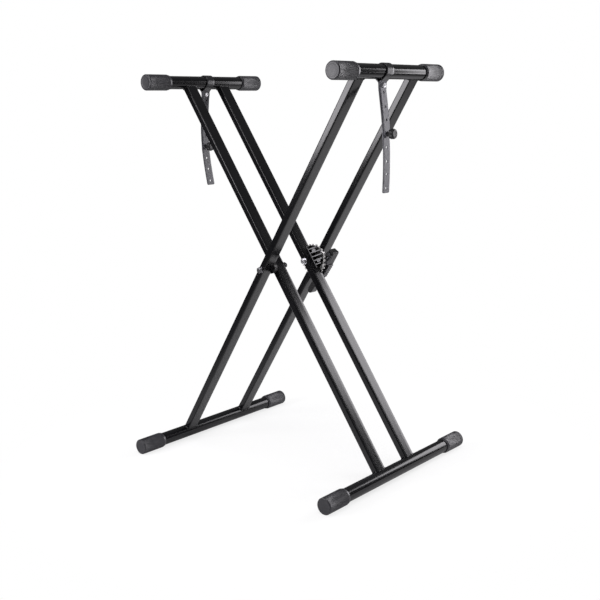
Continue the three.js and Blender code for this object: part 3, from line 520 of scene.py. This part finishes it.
def leg_outline():
    """Points round the leg's section, x then y, with three along each flat side."""
    points = []
    for quarter in range(4):
        for i in range(CORNER_STEPS + 1):
            points.append(corner_point(quarter, (quarter + i / CORNER_STEPS) * math.pi / 2))
        here = points[-1]
        there = corner_point(quarter + 1, (quarter + 1) * math.pi / 2)
        for share in (0.25, 0.5, 0.75):
            points.append(tuple(a + (b - a) * share for a, b in zip(here, there)))
    return points


def bead_path(outline, y, level, way):
    """Points close together along the joint of leg and tube."""
    path = []
    for x, along in outline:
        reach = math.sqrt((TUBE_R + BEAD_SIT) ** 2 - x * x)
        path.append(Vector((x, y + along, level + way * reach)))
    dense = []
    for i, point in enumerate(path):
        after = path[(i + 1) % len(path)]
        parts = max(1, round((after - point).length / BEAD_STEP))
        dense.extend(point.lerp(after, k / parts) for k in range(parts))
    return dense


def weld_bead(bm, outline, y, level, way):
    """A rippled bead round the joint of leg and tube. way points from the tube into the leg."""
    path = bead_path(outline, y, level, way)
    rings = []
    for i, point in enumerate(path):
        along = (path[(i + 1) % len(path)] - path[i - 1]).normalized()
        side = Vector((point.x, 0, point.z - level)).normalized()
        across = along.cross(side).normalized()
        size = BEAD_R + 0.22 * math.sin(i * 2.1) + 0.1 * math.sin(i * 0.37 + y)
        ring = []
        for k in range(BEAD_SIDES):
            turn = 2 * math.pi * k / BEAD_SIDES
            ring.append(point + size * (math.cos(turn) * across + math.sin(turn) * side))
        rings.append(ring)
    loft(bm, rings, around=True)


def leg_piece(frame_name, end):
    leg_y = INNER_LEG_Y if frame_name == "inner" else OUTER_LEG_Y
    y = -leg_y if end == "near" else leg_y
    outline = leg_outline()

    def ring(level, way):
        """The leg's section at a level. way is the side of a tube that the end is coped to."""
        rows = []
        for x, along in outline:
            reach = math.sqrt((TUBE_R + GAP) ** 2 - x * x) if way else 0.0
            rows.append((x, y + along, level - way * reach))
        return rows

    plain = [ring(level, 0) for level in LEG_LEVELS]
    bm = bmesh.new()
    loft(bm, [ring(-LOWER_ARM, -1), *plain, ring(UPPER_ARM, 1)])
    weld_bead(bm, outline, y, UPPER_ARM, -1)
    weld_bead(bm, outline, y, -LOWER_ARM, 1)
    leg = f"{frame_name}_{end}_leg"
    body = f"{frame_name}_frame"
    make_piece(f"{leg}_coated", bm, SPACES[frame_name], body, BLACK_COAT, [leg])


for frame_name in SPACES:
    for end in ("near", "far"):
        leg_piece(frame_name, end)

# ---- pivot hardware
WASHER = 1.6
WASHER_R = 7.4
WASHER_BORE = 4.3
HEX_R = 6.9
BOLT_R = 4.0
BOLT_HEAD = 5.5
BOLT_PAST_SEAT = 7  # of the tip beyond the nut's seat
NUT_BORE = 4.4
NUT_CAVITY = 8.0
NUT_HEX = 6.6
DOME_R = 5.7
DOME = 3.9
DOME_STEPS = 8
BUSH_BORE = 4.3
BUSH_R = 6.0
SEAT = GAP + WASHER + GAP
INNER_IN = INNER_LEG_Y - LEG_WIDE / 2
INNER_OUT = INNER_LEG_Y + LEG_WIDE / 2
OUTER_IN = OUTER_LEG_Y - LEG_WIDE / 2
OUTER_OUT = OUTER_LEG_Y + LEG_WIDE / 2
DISC_FRONT = INNER_OUT + GAP
DISC_BACK = DISC_FRONT + 4.0


def pivot_piece(name, ending, bm, frame_name, material):
    """A piece of the pivot that turns with a frame."""
    body = f"{frame_name}_frame"
    make_piece(f"{name}_{ending}", bm, SPACES[frame_name], body, material, [name])


def bolt_piece(name, seat, tip, frame_name, plating):
    rows = [
        (5.3, seat - BOLT_HEAD), (5.7, seat - 5.4), (HEX_R, seat - 4.8, hexagon),
        (HEX_R, seat - 0.5, hexagon), (HEX_R - 0.3, seat - 0.1, hexagon), (4.4, seat),
        (BOLT_R, seat + 0.3), (BOLT_R, tip - 0.6), (3.5, tip),
    ]
    bm = bmesh.new()
    turn_y(bm, rows, 72)
    pivot_piece(name, "head", bm, frame_name, plating)


def nut_piece(name, seat, frame_name):
    rows = [
        (NUT_BORE, seat + NUT_CAVITY), (NUT_BORE, seat), (6.6, seat),
        (HEX_R, seat + 0.4, hexagon), (HEX_R, seat + 5.9, hexagon), (6.0, seat + 6.5),
        (DOME_R, seat + NUT_HEX),
    ]
    for i in range(1, DOME_STEPS + 1):
        angle = math.pi / 2 * i / DOME_STEPS
        rows.append((DOME_R * math.cos(angle), seat + NUT_HEX + DOME * math.sin(angle)))
    bm = bmesh.new()
    turn_y(bm, rows, 72)
    pivot_piece(name, "dome", bm, frame_name, BLACK_PLASTIC)


def washer_piece(name, low, frame_name, material=ZINC):
    high = low + WASHER
    edge = WASHER_R - 0.25
    rows = [
        (WASHER_BORE, low + 0.15), (4.5, low), (edge, low), (WASHER_R, low + 0.3),
        (WASHER_R, high - 0.3), (edge, high), (4.5, high), (WASHER_BORE, high - 0.15),
    ]
    bm = bmesh.new()
    turn_y(bm, rows, 64, closed=True)
    pivot_piece(name, "disc", bm, frame_name, material)


def bush_piece(name, rows):
    bm = bmesh.new()
    turn_y(bm, rows, 64, closed=True)
    pivot_piece(name, "moulded", bm, "inner", BLACK_PLASTIC)


bolt_piece("near_pivot_bolt", -OUTER_OUT - SEAT, -INNER_IN + SEAT + BOLT_PAST_SEAT, "outer",
           SHADED_ZINC)
nut_piece("near_pivot_nut", -INNER_IN + SEAT, "outer")
washer_piece("near_head_washer", -OUTER_OUT - GAP - WASHER, "outer", SHADED_ZINC)
washer_piece("near_nut_washer", -INNER_IN + GAP, "outer", BLACK_PLASTIC)
bolt_piece("far_pivot_bolt", INNER_IN - SEAT, OUTER_OUT + SEAT + BOLT_PAST_SEAT, "inner", ZINC)
nut_piece("far_pivot_nut", OUTER_OUT + SEAT, "inner")
washer_piece("far_head_washer", INNER_IN - GAP - WASHER, "inner")
washer_piece("far_nut_washer", OUTER_OUT + GAP, "inner")
bush_piece("near_pivot_bush", [
    (BUSH_BORE, -OUTER_IN + GAP), (12.4, -OUTER_IN + GAP), (13.0, -OUTER_IN + GAP + 0.7),
    (13.0, -INNER_OUT - GAP - 0.7), (12.4, -INNER_OUT - GAP), (BUSH_R, -INNER_OUT - GAP),
    (BUSH_R, -INNER_IN - GAP), (BUSH_BORE, -INNER_IN - GAP),
])
bush_piece("far_pivot_bush", [
    (BUSH_BORE, INNER_IN + GAP), (BUSH_R, INNER_IN + GAP), (BUSH_R, DISC_BACK + GAP),
    (11.5, DISC_BACK + GAP), (12.0, DISC_BACK + GAP + 0.6), (12.0, OUTER_IN - GAP - 0.6),
    (11.5, OUTER_IN - GAP), (BUSH_BORE, OUTER_IN - GAP),
])

# ---- lock disc, cover and lever: the solids keep their form and gain worn, rounded edges
ROUNDED = {
    "lock_disc": 0.35, "lock_cover": 0.4, "lever_bracket": 0.45, "release_lever": 0.7,
    "lever_grip_pad": 0.35, "lock_pawl": 0.35,
}
ROUNDING_STEPS = {"release_lever": 3}
ROUNDING_ANGLE = math.radians(32)

for name, width in ROUNDED.items():
    rounder = nodes[name].modifiers.new("rounded_edges", "BEVEL")
    rounder.width = width * MM
    rounder.segments = ROUNDING_STEPS.get(name, 2)
    rounder.limit_method = "ANGLE"
    rounder.angle_limit = ROUNDING_ANGLE
    rounder.harden_normals = True
    for face in nodes[name].data.polygons:
        face.use_smooth = True


# ---- screws, rivets and pin
SCREW_HEAD = 1.8
BRACKET_PLATE = 2.4
BRACKET_SEAT = LEG_THIN / 2 + GAP + BRACKET_PLATE + GAP
LEVER_Y = OUTER_LEG_Y - 6.0
LEVER_HALF = 9.5
LEVER_LOW = LEVER_Y - LEVER_HALF
LEVER_HIGH = LEVER_Y + LEVER_HALF
LEVER_SIDE = 3.0
CHEEK = 2.2  # side of the bracket that the pin goes through
PAWL = 2.9
PIN_X, PIN_Z = 26.0, -22.0
RIVET_X = 29.5


def six_lobed(angle):
    return 1.0 - 0.13 * (0.5 + 0.5 * math.cos(6 * angle))


def screw_rows(head_r, height, shank_r, length, seat):
    """Pan head screw with a lobed recess, seated at seat on its axis, head towards plus."""
    recess = head_r * 0.48
    floor = seat + height * 0.35
    return [
        (0.0, floor), (recess * 0.96, floor, six_lobed),
        (recess, seat + height * 0.97, six_lobed), (head_r * 0.6, seat + height),
        (head_r * 0.86, seat + height * 0.86), (head_r * 0.97, seat + height * 0.55),
        (head_r, seat + height * 0.2), (head_r * 0.98, seat), (shank_r, seat),
        (shank_r, seat - length + 0.8), (shank_r * 0.6, seat - length), (0.0, seat - length),
    ]


def lock_screw(name, head_r, shank_r, length, x, z):
    """A screw of the lock, into the far leg of the inner frame."""
    bm = bmesh.new()
    turn_y(bm, screw_rows(head_r, SCREW_HEAD, shank_r, length, DISC_BACK + GAP), 48, x=x, z=z)
    make_piece(f"{name}_pan_head", bm, INNER, "inner_frame", ZINC, [name])


def bracket_screw(name, z):
    """A screw of the lever's bracket, into the far leg of the outer frame."""
    bm = bmesh.new()
    turn_x(bm, screw_rows(4.0, SCREW_HEAD, 2.0, 9.0, BRACKET_SEAT), 48, y=LEVER_Y, z=z)
    make_piece(f"{name}_pan_head", bm, OUTER, "outer_frame", ZINC, [name])


for number, z in ((1, 22.0), (2, -22.0)):
    lock_screw(f"disc_screw_{number}", head_r=4.0, shank_r=2.0, length=13.0, x=0.0, z=z)
for number, z in ((1, 14.0), (2, -12.0)):
    lock_screw(f"cover_screw_{number}", head_r=3.2, shank_r=1.6, length=10.0, x=20.0, z=z)
bracket_screw("bracket_screw_1", -20.0)
bracket_screw("bracket_screw_2", -44.0)


def domed_rows(seat, head_r, height, way):
    """Rows of a low domed head from its crown to its seat; way is the side it points to."""
    rows = []
    for i in range(7):
        angle = math.pi / 2 * (1 - i / 6)
        crown = height * (0.25 + 0.75 * math.sin(angle))
        rows.append((head_r * math.cos(angle), seat + way * crown))
    rows.append((head_r, seat + way * 0.05))
    return rows


def headed_pin(name, low, high, shank_r, head_r, head, x, z, body):
    """A pin of dark steel along Y with a domed head at both ends."""
    bm = bmesh.new()
    turn_y(bm, [
        *domed_rows(low, head_r, head, -1), (shank_r, low), (shank_r, high),
        *reversed(domed_rows(high, head_r, head, 1)),
    ], 40, x=x, z=z)
    make_piece(f"{name}_headed", bm, OUTER, body, DARK_STEEL, [name])


headed_pin("lever_pin", LEVER_LOW - 2 * GAP - CHEEK, LEVER_HIGH + 2 * GAP + CHEEK,
           shank_r=3.0, head_r=4.6, head=1.6, x=PIN_X, z=PIN_Z, body="outer_frame")
for number, z in ((1, 34.5), (2, 25.0)):
    headed_pin(f"pawl_rivet_{number}", LEVER_LOW - GAP - PAWL - GAP, LEVER_LOW + LEVER_SIDE + GAP,
               shank_r=1.8, head_r=3.0, head=1.2, x=RIVET_X, z=z, body="release_lever")

# ---- torsion spring round the pin
SPRING_TURNS = 3
SPRING_PITCH = 2.6
COIL_R = 4.2
WIRE_R = 0.6
WIRE_SIDES = 10
COIL_POINTS = 96
SPRING_LEG = 9.0
SPRING_LEG_LEAN = 0.4


def coil_point(turn):
    angle = math.pi + turn * 2 * math.pi
    first = LEVER_Y - SPRING_TURNS * SPRING_PITCH / 2
    return Vector((
        PIN_X + COIL_R * math.cos(angle), first + turn * SPRING_PITCH,
        PIN_Z + COIL_R * math.sin(angle),
    ))


def spring_piece():
    """Three coils of wire with a leg at each end."""
    start, end = coil_point(0), coil_point(SPRING_TURNS)
    shares = (0.25, 0.5, 0.75, 1.0)
    path = [start + Vector((0, -SPRING_LEG_LEAN, SPRING_LEG * v)) for v in reversed(shares)]
    path += [coil_point(SPRING_TURNS * i / COIL_POINTS) for i in range(COIL_POINTS + 1)]
    path += [end + Vector((0, SPRING_LEG_LEAN, -SPRING_LEG * v)) for v in shares]
    rings = []
    across = Vector((0, 1, 0))
    for i, point in enumerate(path):
        along = (path[min(i + 1, len(path) - 1)] - path[max(i - 1, 0)]).normalized()
        side = along.cross(across).normalized()
        up = side.cross(along).normalized()
        ring = []
        for k in range(WIRE_SIDES):
            angle = 2 * math.pi * k / WIRE_SIDES
            ring.append(point + WIRE_R * (math.cos(angle) * side + math.sin(angle) * up))
        rings.append(ring)
    bm = bmesh.new()
    loft(bm, rings)
    make_piece("lever_spring_wire", bm, OUTER, "release_lever", ZINC, ["lever_spring"])


spring_piece()

# ---- rubber straps
STRAP_WIDE = 23.0
STRAP_FRONT_WIDE = 19.6
STRAP_THICK = 2.4
STRAP_GAP = 0.5  # between the two tails
STRAP_TAIL = 242.0
TAIL_PAST_KNOB = 7.0
TAIL_X = (STRAP_GAP + STRAP_THICK) / 2
RIVET_Z = -27.0
RIVET_HEAD_R = 5.0
RIVET_HEAD = 3.0
RIVET_SHANK_R = 2.2
RIVET_HOLE_R = 2.5
HOLE_R = 2.4
HOLE_LEVELS = [-(42.0 + 27.0 * i) for i in range(8)]
STUD_R = 3.0
STUD_BORE = 3.3
STUD_HEAD_R = 6.5
STUD_HEAD = 2.4
STUD_IN_KNOB = 8.0
KNOB_NECK = 7.0
KNOB_R = 10.5
FACE = TAIL_X + STRAP_THICK / 2 + GAP
LOOP_R = TUBE_R + GAP + STRAP_THICK
LINE_R = TUBE_R + GAP + STRAP_THICK / 2
LEAVE = math.radians(40)  # angle round the tube at which the tails leave it
MEET_Z = -LINE_R * math.cos(LEAVE) - (LINE_R * math.sin(LEAVE) - TAIL_X) * math.tan(LEAVE)
LOOP_STEPS = 48
BOW_TOP = RIVET_Z - RIVET_HEAD_R - 1
BOW_STEPS = 8
KNOB_FLAT = STUD_HEAD_R + 1
LINE_STEP = 2.0
EASING_ROUNDS = 3


def resampled(points, step):
    """Points spaced evenly along a line."""
    dense = []
    for (x0, z0), (x1, z1) in zip(points, points[1:]):
        parts = max(1, round(math.hypot(x1 - x0, z1 - z0) / step))
        for k in range(parts):
            dense.append((x0 + (x1 - x0) * k / parts, z0 + (z1 - z0) * k / parts))
    dense.append(points[-1])
    return dense


def eased(points, rounds):
    """Takes the corners out of a line by averaging neighbours."""
    for _ in range(rounds):
        inside = [
            ((a[0] + 2 * b[0] + c[0]) / 4, (a[1] + 2 * b[1] + c[1]) / 4)
            for a, b, c in zip(points, points[1:], points[2:])
        ]
        points = [points[0], *inside, points[-1]]
    return points


class StrapLine:
    """Centreline of a hanging strap: up the front tail, round the loop and down the long tail."""

    def __init__(self, knob_z, bend, lean):
        self.knob_z = knob_z
        self.bend = bend
        self.lean = lean
        self.front_end = knob_z - TAIL_PAST_KNOB
        front, back = self.tail(1, self.front_end), self.tail(-1, -STRAP_TAIL)
        loop = []
        for i in range(1, LOOP_STEPS):
            angle = LEAVE + (2 * math.pi - 2 * LEAVE) * i / LOOP_STEPS
            loop.append((LINE_R * math.sin(angle), -LINE_R * math.cos(angle)))
        path = resampled([*reversed(front), *loop, *back], LINE_STEP)
        self.points = eased(path, EASING_ROUNDS)
        self.lengths = [0.0]
        for (x0, z0), (x1, z1) in zip(self.points, self.points[1:]):
            self.lengths.append(self.lengths[-1] + math.hypot(x1 - x0, z1 - z0))
        self.total = self.lengths[-1]
        self.top = max(range(len(self.points)), key=lambda i: self.points[i][1])

    def shift(self, z):
        """Sideways place of the tails at a level: a shallow bow that is flat behind the knob."""
        level = self.knob_z if abs(z - self.knob_z) <= KNOB_FLAT else z
        share = min(1.0, max(0.0, (BOW_TOP - level) / (BOW_TOP + STRAP_TAIL)))
        return self.bend * math.sin(math.pi * share) + self.lean * share

    def tail(self, side, end):
        """Points down one tail, x then z."""
        marks = [MEET_Z, BOW_TOP, self.knob_z + KNOB_FLAT, self.knob_z - KNOB_FLAT, end]
        for i in range(1, BOW_STEPS):
            z = BOW_TOP - (BOW_TOP + STRAP_TAIL) * i / BOW_STEPS
            apart = all(abs(mark - z) > 3 for mark in marks)
            if apart and z > end and abs(z - self.knob_z) > KNOB_FLAT:
                marks.append(z)
        levels = sorted((mark for mark in marks if mark >= end), reverse=True)
        return [(side * TAIL_X + self.shift(z), z) for z in levels]

    def at_length(self, s):
        """Point and normal at a length from the front tail's end: x, z, normal x, normal z."""
        s = min(max(s, 0.0), self.total)
        low = min(bisect_right(self.lengths, s) - 1, len(self.lengths) - 2)
        high = low + 1
        step = max(1e-9, self.lengths[high] - self.lengths[low])
        share = (s - self.lengths[low]) / step
        here, there = self.points[low], self.points[high]
        before = self.points[max(0, low - 1)]
        after = self.points[min(len(self.points) - 1, high + 1)]
        run = Vector((after[0] - before[0], after[1] - before[1])).normalized()
        x = here[0] + (there[0] - here[0]) * share
        z = here[1] + (there[1] - here[1]) * share
        return x, z, -run.y, run.x

    def length_at(self, level, tail):
        """Length from the front tail's end to a level on one of the tails."""
        span = range(0, self.top) if tail == "front" else range(self.top, len(self.points))
        return self.lengths[min(span, key=lambda i: abs(self.points[i][1] - level))]

    def openings(self):
        """Length and radius of every hole."""
        found = []
        for z in HOLE_LEVELS:
            for tail in ("front", "back"):
                if tail == "back" or z > self.front_end + 4:
                    radius = HOLE_R if z != self.knob_z else STUD_BORE
                    found.append((self.length_at(z, tail), radius))
        for tail in ("front", "back"):
            found.append((self.length_at(RIVET_Z, tail), RIVET_HOLE_R))
        return found


# the flat strap: rows of points by length, closer together at its rounded ends
FIRST_ROWS = (0.0, 0.12, 0.35, 0.7, 1.2, 1.9, 2.8, 3.9, 5.2, 6.7, 8.4)
LAST_ROWS = (4.2, 3.4, 2.5, 1.7, 1.0, 0.5, 0.2, 0.05, 0.0)  # from the long tail's end
ROW_START = 10.5
ROW_STEP = 2.1
ROW_END = 4.6  # from the long tail's end
COLUMNS = (-0.78, -0.52, -0.26, 0.0, 0.26, 0.52, 0.78)  # shares of the half width
INSET = 0.7  # over which the edge is rounded
EDGE_THICK = 0.58  # share of the thickness at an edge
HOLE_INSET = 0.45
HOLE_SIDES = 20
HOLE_CLEAR = 1.3  # kept free of other points round a hole
FRONT_CORNER = STRAP_WIDE / 2 - 0.4
BACK_CORNER = 3.5
NARROWING = 10.0


def half_width(s, total):
    """Half width of the strap at a length, with rounded ends."""
    half = STRAP_WIDE / 2
    for end_at, corner in ((s, FRONT_CORNER), (total - s, BACK_CORNER)):
        if end_at < corner:
            return half - corner + math.sqrt(max(0.0, corner ** 2 - (corner - end_at) ** 2))
    return half


def strap_rows(total):
    rows = list(FIRST_ROWS)
    s = ROW_START
    while s < total - ROW_END:
        rows.append(s)
        s += ROW_STEP
    return rows + [total - v for v in LAST_ROWS]


def flat_points(total, openings):
    """Points of the flat strap: length, width and share of the rounding's full height."""
    flat = []
    for s in strap_rows(total):
        limit = half_width(s, total)
        for w in (-limit, limit):
            flat.append((s, w, 0.0))
        if limit > 2 * INSET and INSET < s < total - INSET:
            for w in (-limit + INSET, limit - INSET):
                flat.append((s, w, 1.0))
            for column in COLUMNS:
                w = column * limit
                clear = all(math.hypot(s - at, w) > radius + HOLE_CLEAR for at, radius in openings)
                if abs(w) < limit - 1.5 * INSET and clear:
                    flat.append((s, w, 1.0))
    for at, radius in openings:
        for reach, full in ((radius, 0.0), (radius + HOLE_INSET, 1.0)):
            for k in range(HOLE_SIDES):
                angle = 2 * math.pi * k / HOLE_SIDES
                flat.append((at + reach * math.cos(angle), reach * math.sin(angle), full))
    return flat


def flat_mesh(total, openings):
    """Points, share of full height and faces of the flat strap, without those over a hole."""
    flat = flat_points(total, openings)
    points = [Vector((s, w)) for s, w, _ in flat]
    verts, _, faces, origins, _, _ = delaunay_2d_cdt(points, [], [], 0, 1e-4)
    full_at = [max(flat[i][2] for i in source) for source in origins]
    kept = []
    for face in faces:
        middle = sum((verts[i] for i in face), Vector((0, 0))) / len(face)
        outside = abs(middle.y) > half_width(middle.x, total) + 0.02
        over_hole = any(
            math.hypot(middle.x - at, middle.y) < radius * 0.97 for at, radius in openings)
        if not outside and not over_hole:
            kept.append(tuple(face))
    return verts, full_at, kept


def thicken(bm, front, back, faces):
    """Skins two sheets of the same faces and the edges between them."""
    edges = {}
    for face in faces:
        bm.faces.new([front[i] for i in face])
        bm.faces.new([back[i] for i in reversed(face)])
        edges.update(((a, face[(i + 1) % len(face)]), True) for i, a in enumerate(face))
    for a, b in edges:
        if (b, a) not in edges:
            bm.faces.new((front[b], front[a], back[a], back[b]))
    loose = [vertex for vertex in bm.verts if not vertex.link_faces]
    bmesh.ops.delete(bm, geom=loose, context="VERTS")


def strap_band(side, y, line, skew, space, rubber):
    """The rubber itself, wrapped along its centreline."""
    narrow_from = line.length_at(RIVET_Z - RIVET_HEAD_R - 2, "front")
    narrow = STRAP_FRONT_WIDE / STRAP_WIDE

    def width_share(s):
        share = min(1.0, max(0.0, (narrow_from + 8.0 - s) / NARROWING))
        return 1.0 + (narrow - 1.0) * share

    verts, full_at, faces = flat_mesh(line.total, line.openings())
    bm = bmesh.new()
    sheets = []
    for way in (1, -1):
        sheet = []
        for point, full in zip(verts, full_at):
            x, z, normal_x, normal_z = line.at_length(point.x)
            reach = way * STRAP_THICK / 2 * (EDGE_THICK + (1 - EDGE_THICK) * full)
            x, z = x + normal_x * reach, z + normal_z * reach
            slid = skew * min(1.0, max(0.0, (z + LOOP_R) / (2 * LOOP_R)))
            sheet.append(bm.verts.new((x, y + slid + point.y * width_share(point.x), z)))
        sheets.append(sheet)
    thicken(bm, *sheets, faces)
    strap = f"{side}_strap"
    make_piece(f"{strap}_moulded", bm, space, strap, rubber, [strap])


def strap_rivet(side, y, space):
    """A tubular rivet through both tails, rolled over in front."""
    top = FACE + RIVET_HEAD
    rolled = [
        (0.0, FACE + 1.4), (1.5, FACE + 1.5), (2.0, FACE + 2.0), (2.5, top - 0.1), (3.1, top),
        (3.9, top - 0.3), (4.6, top - 1.0), (RIVET_HEAD_R, top - 2.1), (RIVET_HEAD_R, FACE),
    ]
    domed = reversed(domed_rows(-FACE, RIVET_HEAD_R, RIVET_HEAD, -1))
    bm = bmesh.new()
    turn_x(bm, [*rolled, (RIVET_SHANK_R, FACE), (RIVET_SHANK_R, -FACE), *domed], 48,
           y=y, z=RIVET_Z)
    rivet = f"{side}_strap_rivet"
    make_piece(f"{rivet}_domed", bm, space, f"{side}_strap", RIVET_ZINC, [rivet])


def strap_stud(side, space):
    """The stud that the knob turns on."""
    tip = FACE + KNOB_NECK + STUD_IN_KNOB
    bm = bmesh.new()
    turn_x(bm, [
        *domed_rows(-FACE, STUD_HEAD_R, STUD_HEAD, -1), (STUD_R, -FACE), (STUD_R, tip - 0.6),
        (2.5, tip),
    ], 48)
    stud = f"{side}_strap_stud"
    make_piece(f"{stud}_domed", bm, space, f"{side}_strap", ZINC, [stud])


def twelve_lobed(angle):
    return 1.0 - 0.1 * (0.5 - 0.5 * math.cos(12 * angle)) ** 0.8


def strap_knob(side, space):
    """A knob with a neck and a lobed head."""
    head = FACE + KNOB_NECK
    bm = bmesh.new()
    turn_x(bm, [
        (STUD_BORE, FACE), (4.7, FACE), (5.0, FACE + 0.4), (5.0, head - 2.6), (5.6, head - 1.0),
        (7.2, head - 0.1), (9.0, head), (10.1, head + 0.4, twelve_lobed),
        (KNOB_R, head + 1.4, twelve_lobed), (KNOB_R, head + 8.0, twelve_lobed),
        (10.2, head + 9.5, twelve_lobed), (9.2, head + 10.4), (7.6, head + 10.9),
        (6.6, head + 11.0), (6.2, head + 10.6), (0.0, head + 10.5), (0.0, head + 8.3),
        (STUD_BORE, head + 8.3),
    ], 120)
    knob = f"{side}_strap_knob"
    body = f"{side}_knob"
    make_piece(f"{knob}_lobed", bm, space, body, BLACK_PLASTIC, [knob])


def strap_pieces(side, y, knob_hole, bend, lean, skew, frame_name, rubber):
    """A strap with its rivet, stud and knob, in the space of its tube.

    y is its middle, bend and lean the bow and slant of its tails and skew the slide of its loop
    along the tube.
    """
    knob_z = HOLE_LEVELS[knob_hole]
    line = StrapLine(knob_z, bend, lean)
    space = at_tube(SPACES[frame_name], UPPER_ARM)
    strap_band(side, y, line, skew, space, rubber)
    strap_rivet(side, y, space)
    knob_space = space @ Matrix.Translation(Vector((line.shift(knob_z), y, knob_z)) * MM)
    strap_stud(side, knob_space)
    strap_knob(side, knob_space)


strap_pieces("left", y=3.0, knob_hole=4, bend=-11.0, lean=6.5, skew=6.0,
             frame_name="inner", rubber=LEFT_RUBBER)
strap_pieces("right", y=-21.5, knob_hole=3, bend=6.3, lean=7.2, skew=9.0,
             frame_name="outer", rubber=RIGHT_RUBBER)

# ---- floor, light and backdrop
WHITE = (1, 1, 1, 1)
LAMP_COLOUR = (0.985, 0.965, 1.0)
FLOOR_HALF = 12.0
FLOOR_CELLS = 8
FLOOR_Z = -0.0004


def world_air(diffuse, mirror, seen):
    """Air of one brightness for soft light, another in reflections, and white behind the stand."""
    world = bpy.data.worlds.new("studio_air")
    bpy.context.scene.world = world
    world.use_nodes = True
    p = Paint.on_tree(world.node_tree, "ShaderNodeOutputWorld")
    height = p.axis(p.node("ShaderNodeTexCoord"), "Z")
    sky = p.band(height, 0.1, 0.6, *mirror)
    strength = diffuse + p.ray("Camera") * (seen - diffuse) + p.ray("Glossy") * (sky - diffuse)
    air = p.node("ShaderNodeBackground", sockets={"Color": WHITE, "Strength": strength})
    p.tree.links.new(air.socket, p.out.inputs["Surface"])


def floor_paper():
    """White paper that keeps the shadow near the feet and fades to plain white further out; for all
    but camera rays its colour darkens away from the stand as painted shade.
    """
    p = Paint("floor_paper")
    fibre = p.noise(60.0, 3.0, 0.5)
    reach = p.measure("LENGTH", p.place())
    sockets = {"Vector": p.place(), "Location": (-0.1, -0.35, 0.0)}
    behind = p.measure("LENGTH", p.node("ShaderNodeMapping", sockets=sockets))
    near = p.blend(fibre, (0.9, 0.9, 0.9), (0.94, 0.94, 0.94))
    camera = p.ray("Camera")
    # painted shade: away from the stand the paper's colour darkens for all but camera rays, so
    # reflections of the far floor are dark
    far_painted_shade = p.band(behind, 0.45, 1.5) * (1.0 - camera)
    lit = p.node("ShaderNodeBsdfPrincipled", sockets={
        "Base Color": p.blend(far_painted_shade, near, (0.16, 0.16, 0.16)),
        "Roughness": 0.9, "Specular IOR Level": 0.1, "Normal": p.bump(fibre, 0.05, 0.0005)})
    glow = p.node("ShaderNodeEmission", sockets={"Color": WHITE, "Strength": 1.0})
    share = camera * p.band(reach, 0.3, 0.7, 0.75, 1.0)
    surface = p.node("ShaderNodeMixShader", sockets={0: share, 1: lit, 2: glow})
    p.tree.links.new(surface.socket, p.out.inputs["Surface"])
    return p.material


def lamp(name, place, target, wide, tall, power):
    data = bpy.data.lights.new(name, "AREA")
    data.shape = "RECTANGLE"
    data.size = wide
    data.size_y = tall
    data.energy = power
    data.color = LAMP_COLOUR
    made = bpy.data.objects.new(name, data)
    made.location = place
    aim = Vector(target) - Vector(place)
    made.rotation_euler = aim.to_track_quat("-Z", "Y").to_euler()
    bpy.context.scene.collection.objects.link(made)


def studio():
    bpy.context.scene.view_settings.view_transform = "Standard"
    world_air(diffuse=0.42, mirror=(0.05, 0.18), seen=1.0)
    bm = bmesh.new()
    bmesh.ops.create_grid(bm, x_segments=FLOOR_CELLS, y_segments=FLOOR_CELLS, size=FLOOR_HALF)
    mesh = bpy.data.meshes.new("floor")
    bm.to_mesh(mesh)
    bm.free()
    mesh.materials.append(floor_paper())
    floor = bpy.data.objects.new("floor", mesh)
    floor.location.z = FLOOR_Z
    bpy.context.scene.collection.objects.link(floor)
    floor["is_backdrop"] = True
    lamp("front_left_box", (-0.84, -1.8, 1.0), (0.2, 0.0, 0.85), 0.95, 0.76, 28)
    lamp("back_right_panel", (0.888, 2.037, 0.97), (0.318, -0.088, 0.97), 1.26, 1.42, 43)
    lamp("overhead_box", (0.3, -0.4, 3.2), (0.0, 0.0, 0.4), 2.2, 2.2, 44)


studio()

# ---- finishes of the solids that stay
LOOKS = {
    "powder_coat": BLACK_COAT, "cap_rubber": CAP_RUBBER, "strap_rubber": LEFT_RUBBER,
    "zinc": ZINC, "black_plastic": BLACK_PLASTIC, "pawl_steel": PAWL_STEEL,
}
OWN_LOOKS = {"lock_disc": DISC_ZINC, "lock_cover": COVER_PLASTIC}
slots = {row["node"]: row["material_slot"] for row in frame["record"]["subparts"]}
for name, node in nodes.items():
    if node.hide_render:
        continue
    if not node.material_slots:
        node.data.materials.append(None)
    node.material_slots[0].link = "OBJECT"
    node.material_slots[0].material = OWN_LOOKS.get(name, LOOKS[slots[name]])

boxes = {"cad": cad_box, "visual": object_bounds()}
{key: [[float(v) for v in corner] for corner in pair] for key, pair in boxes.items()}
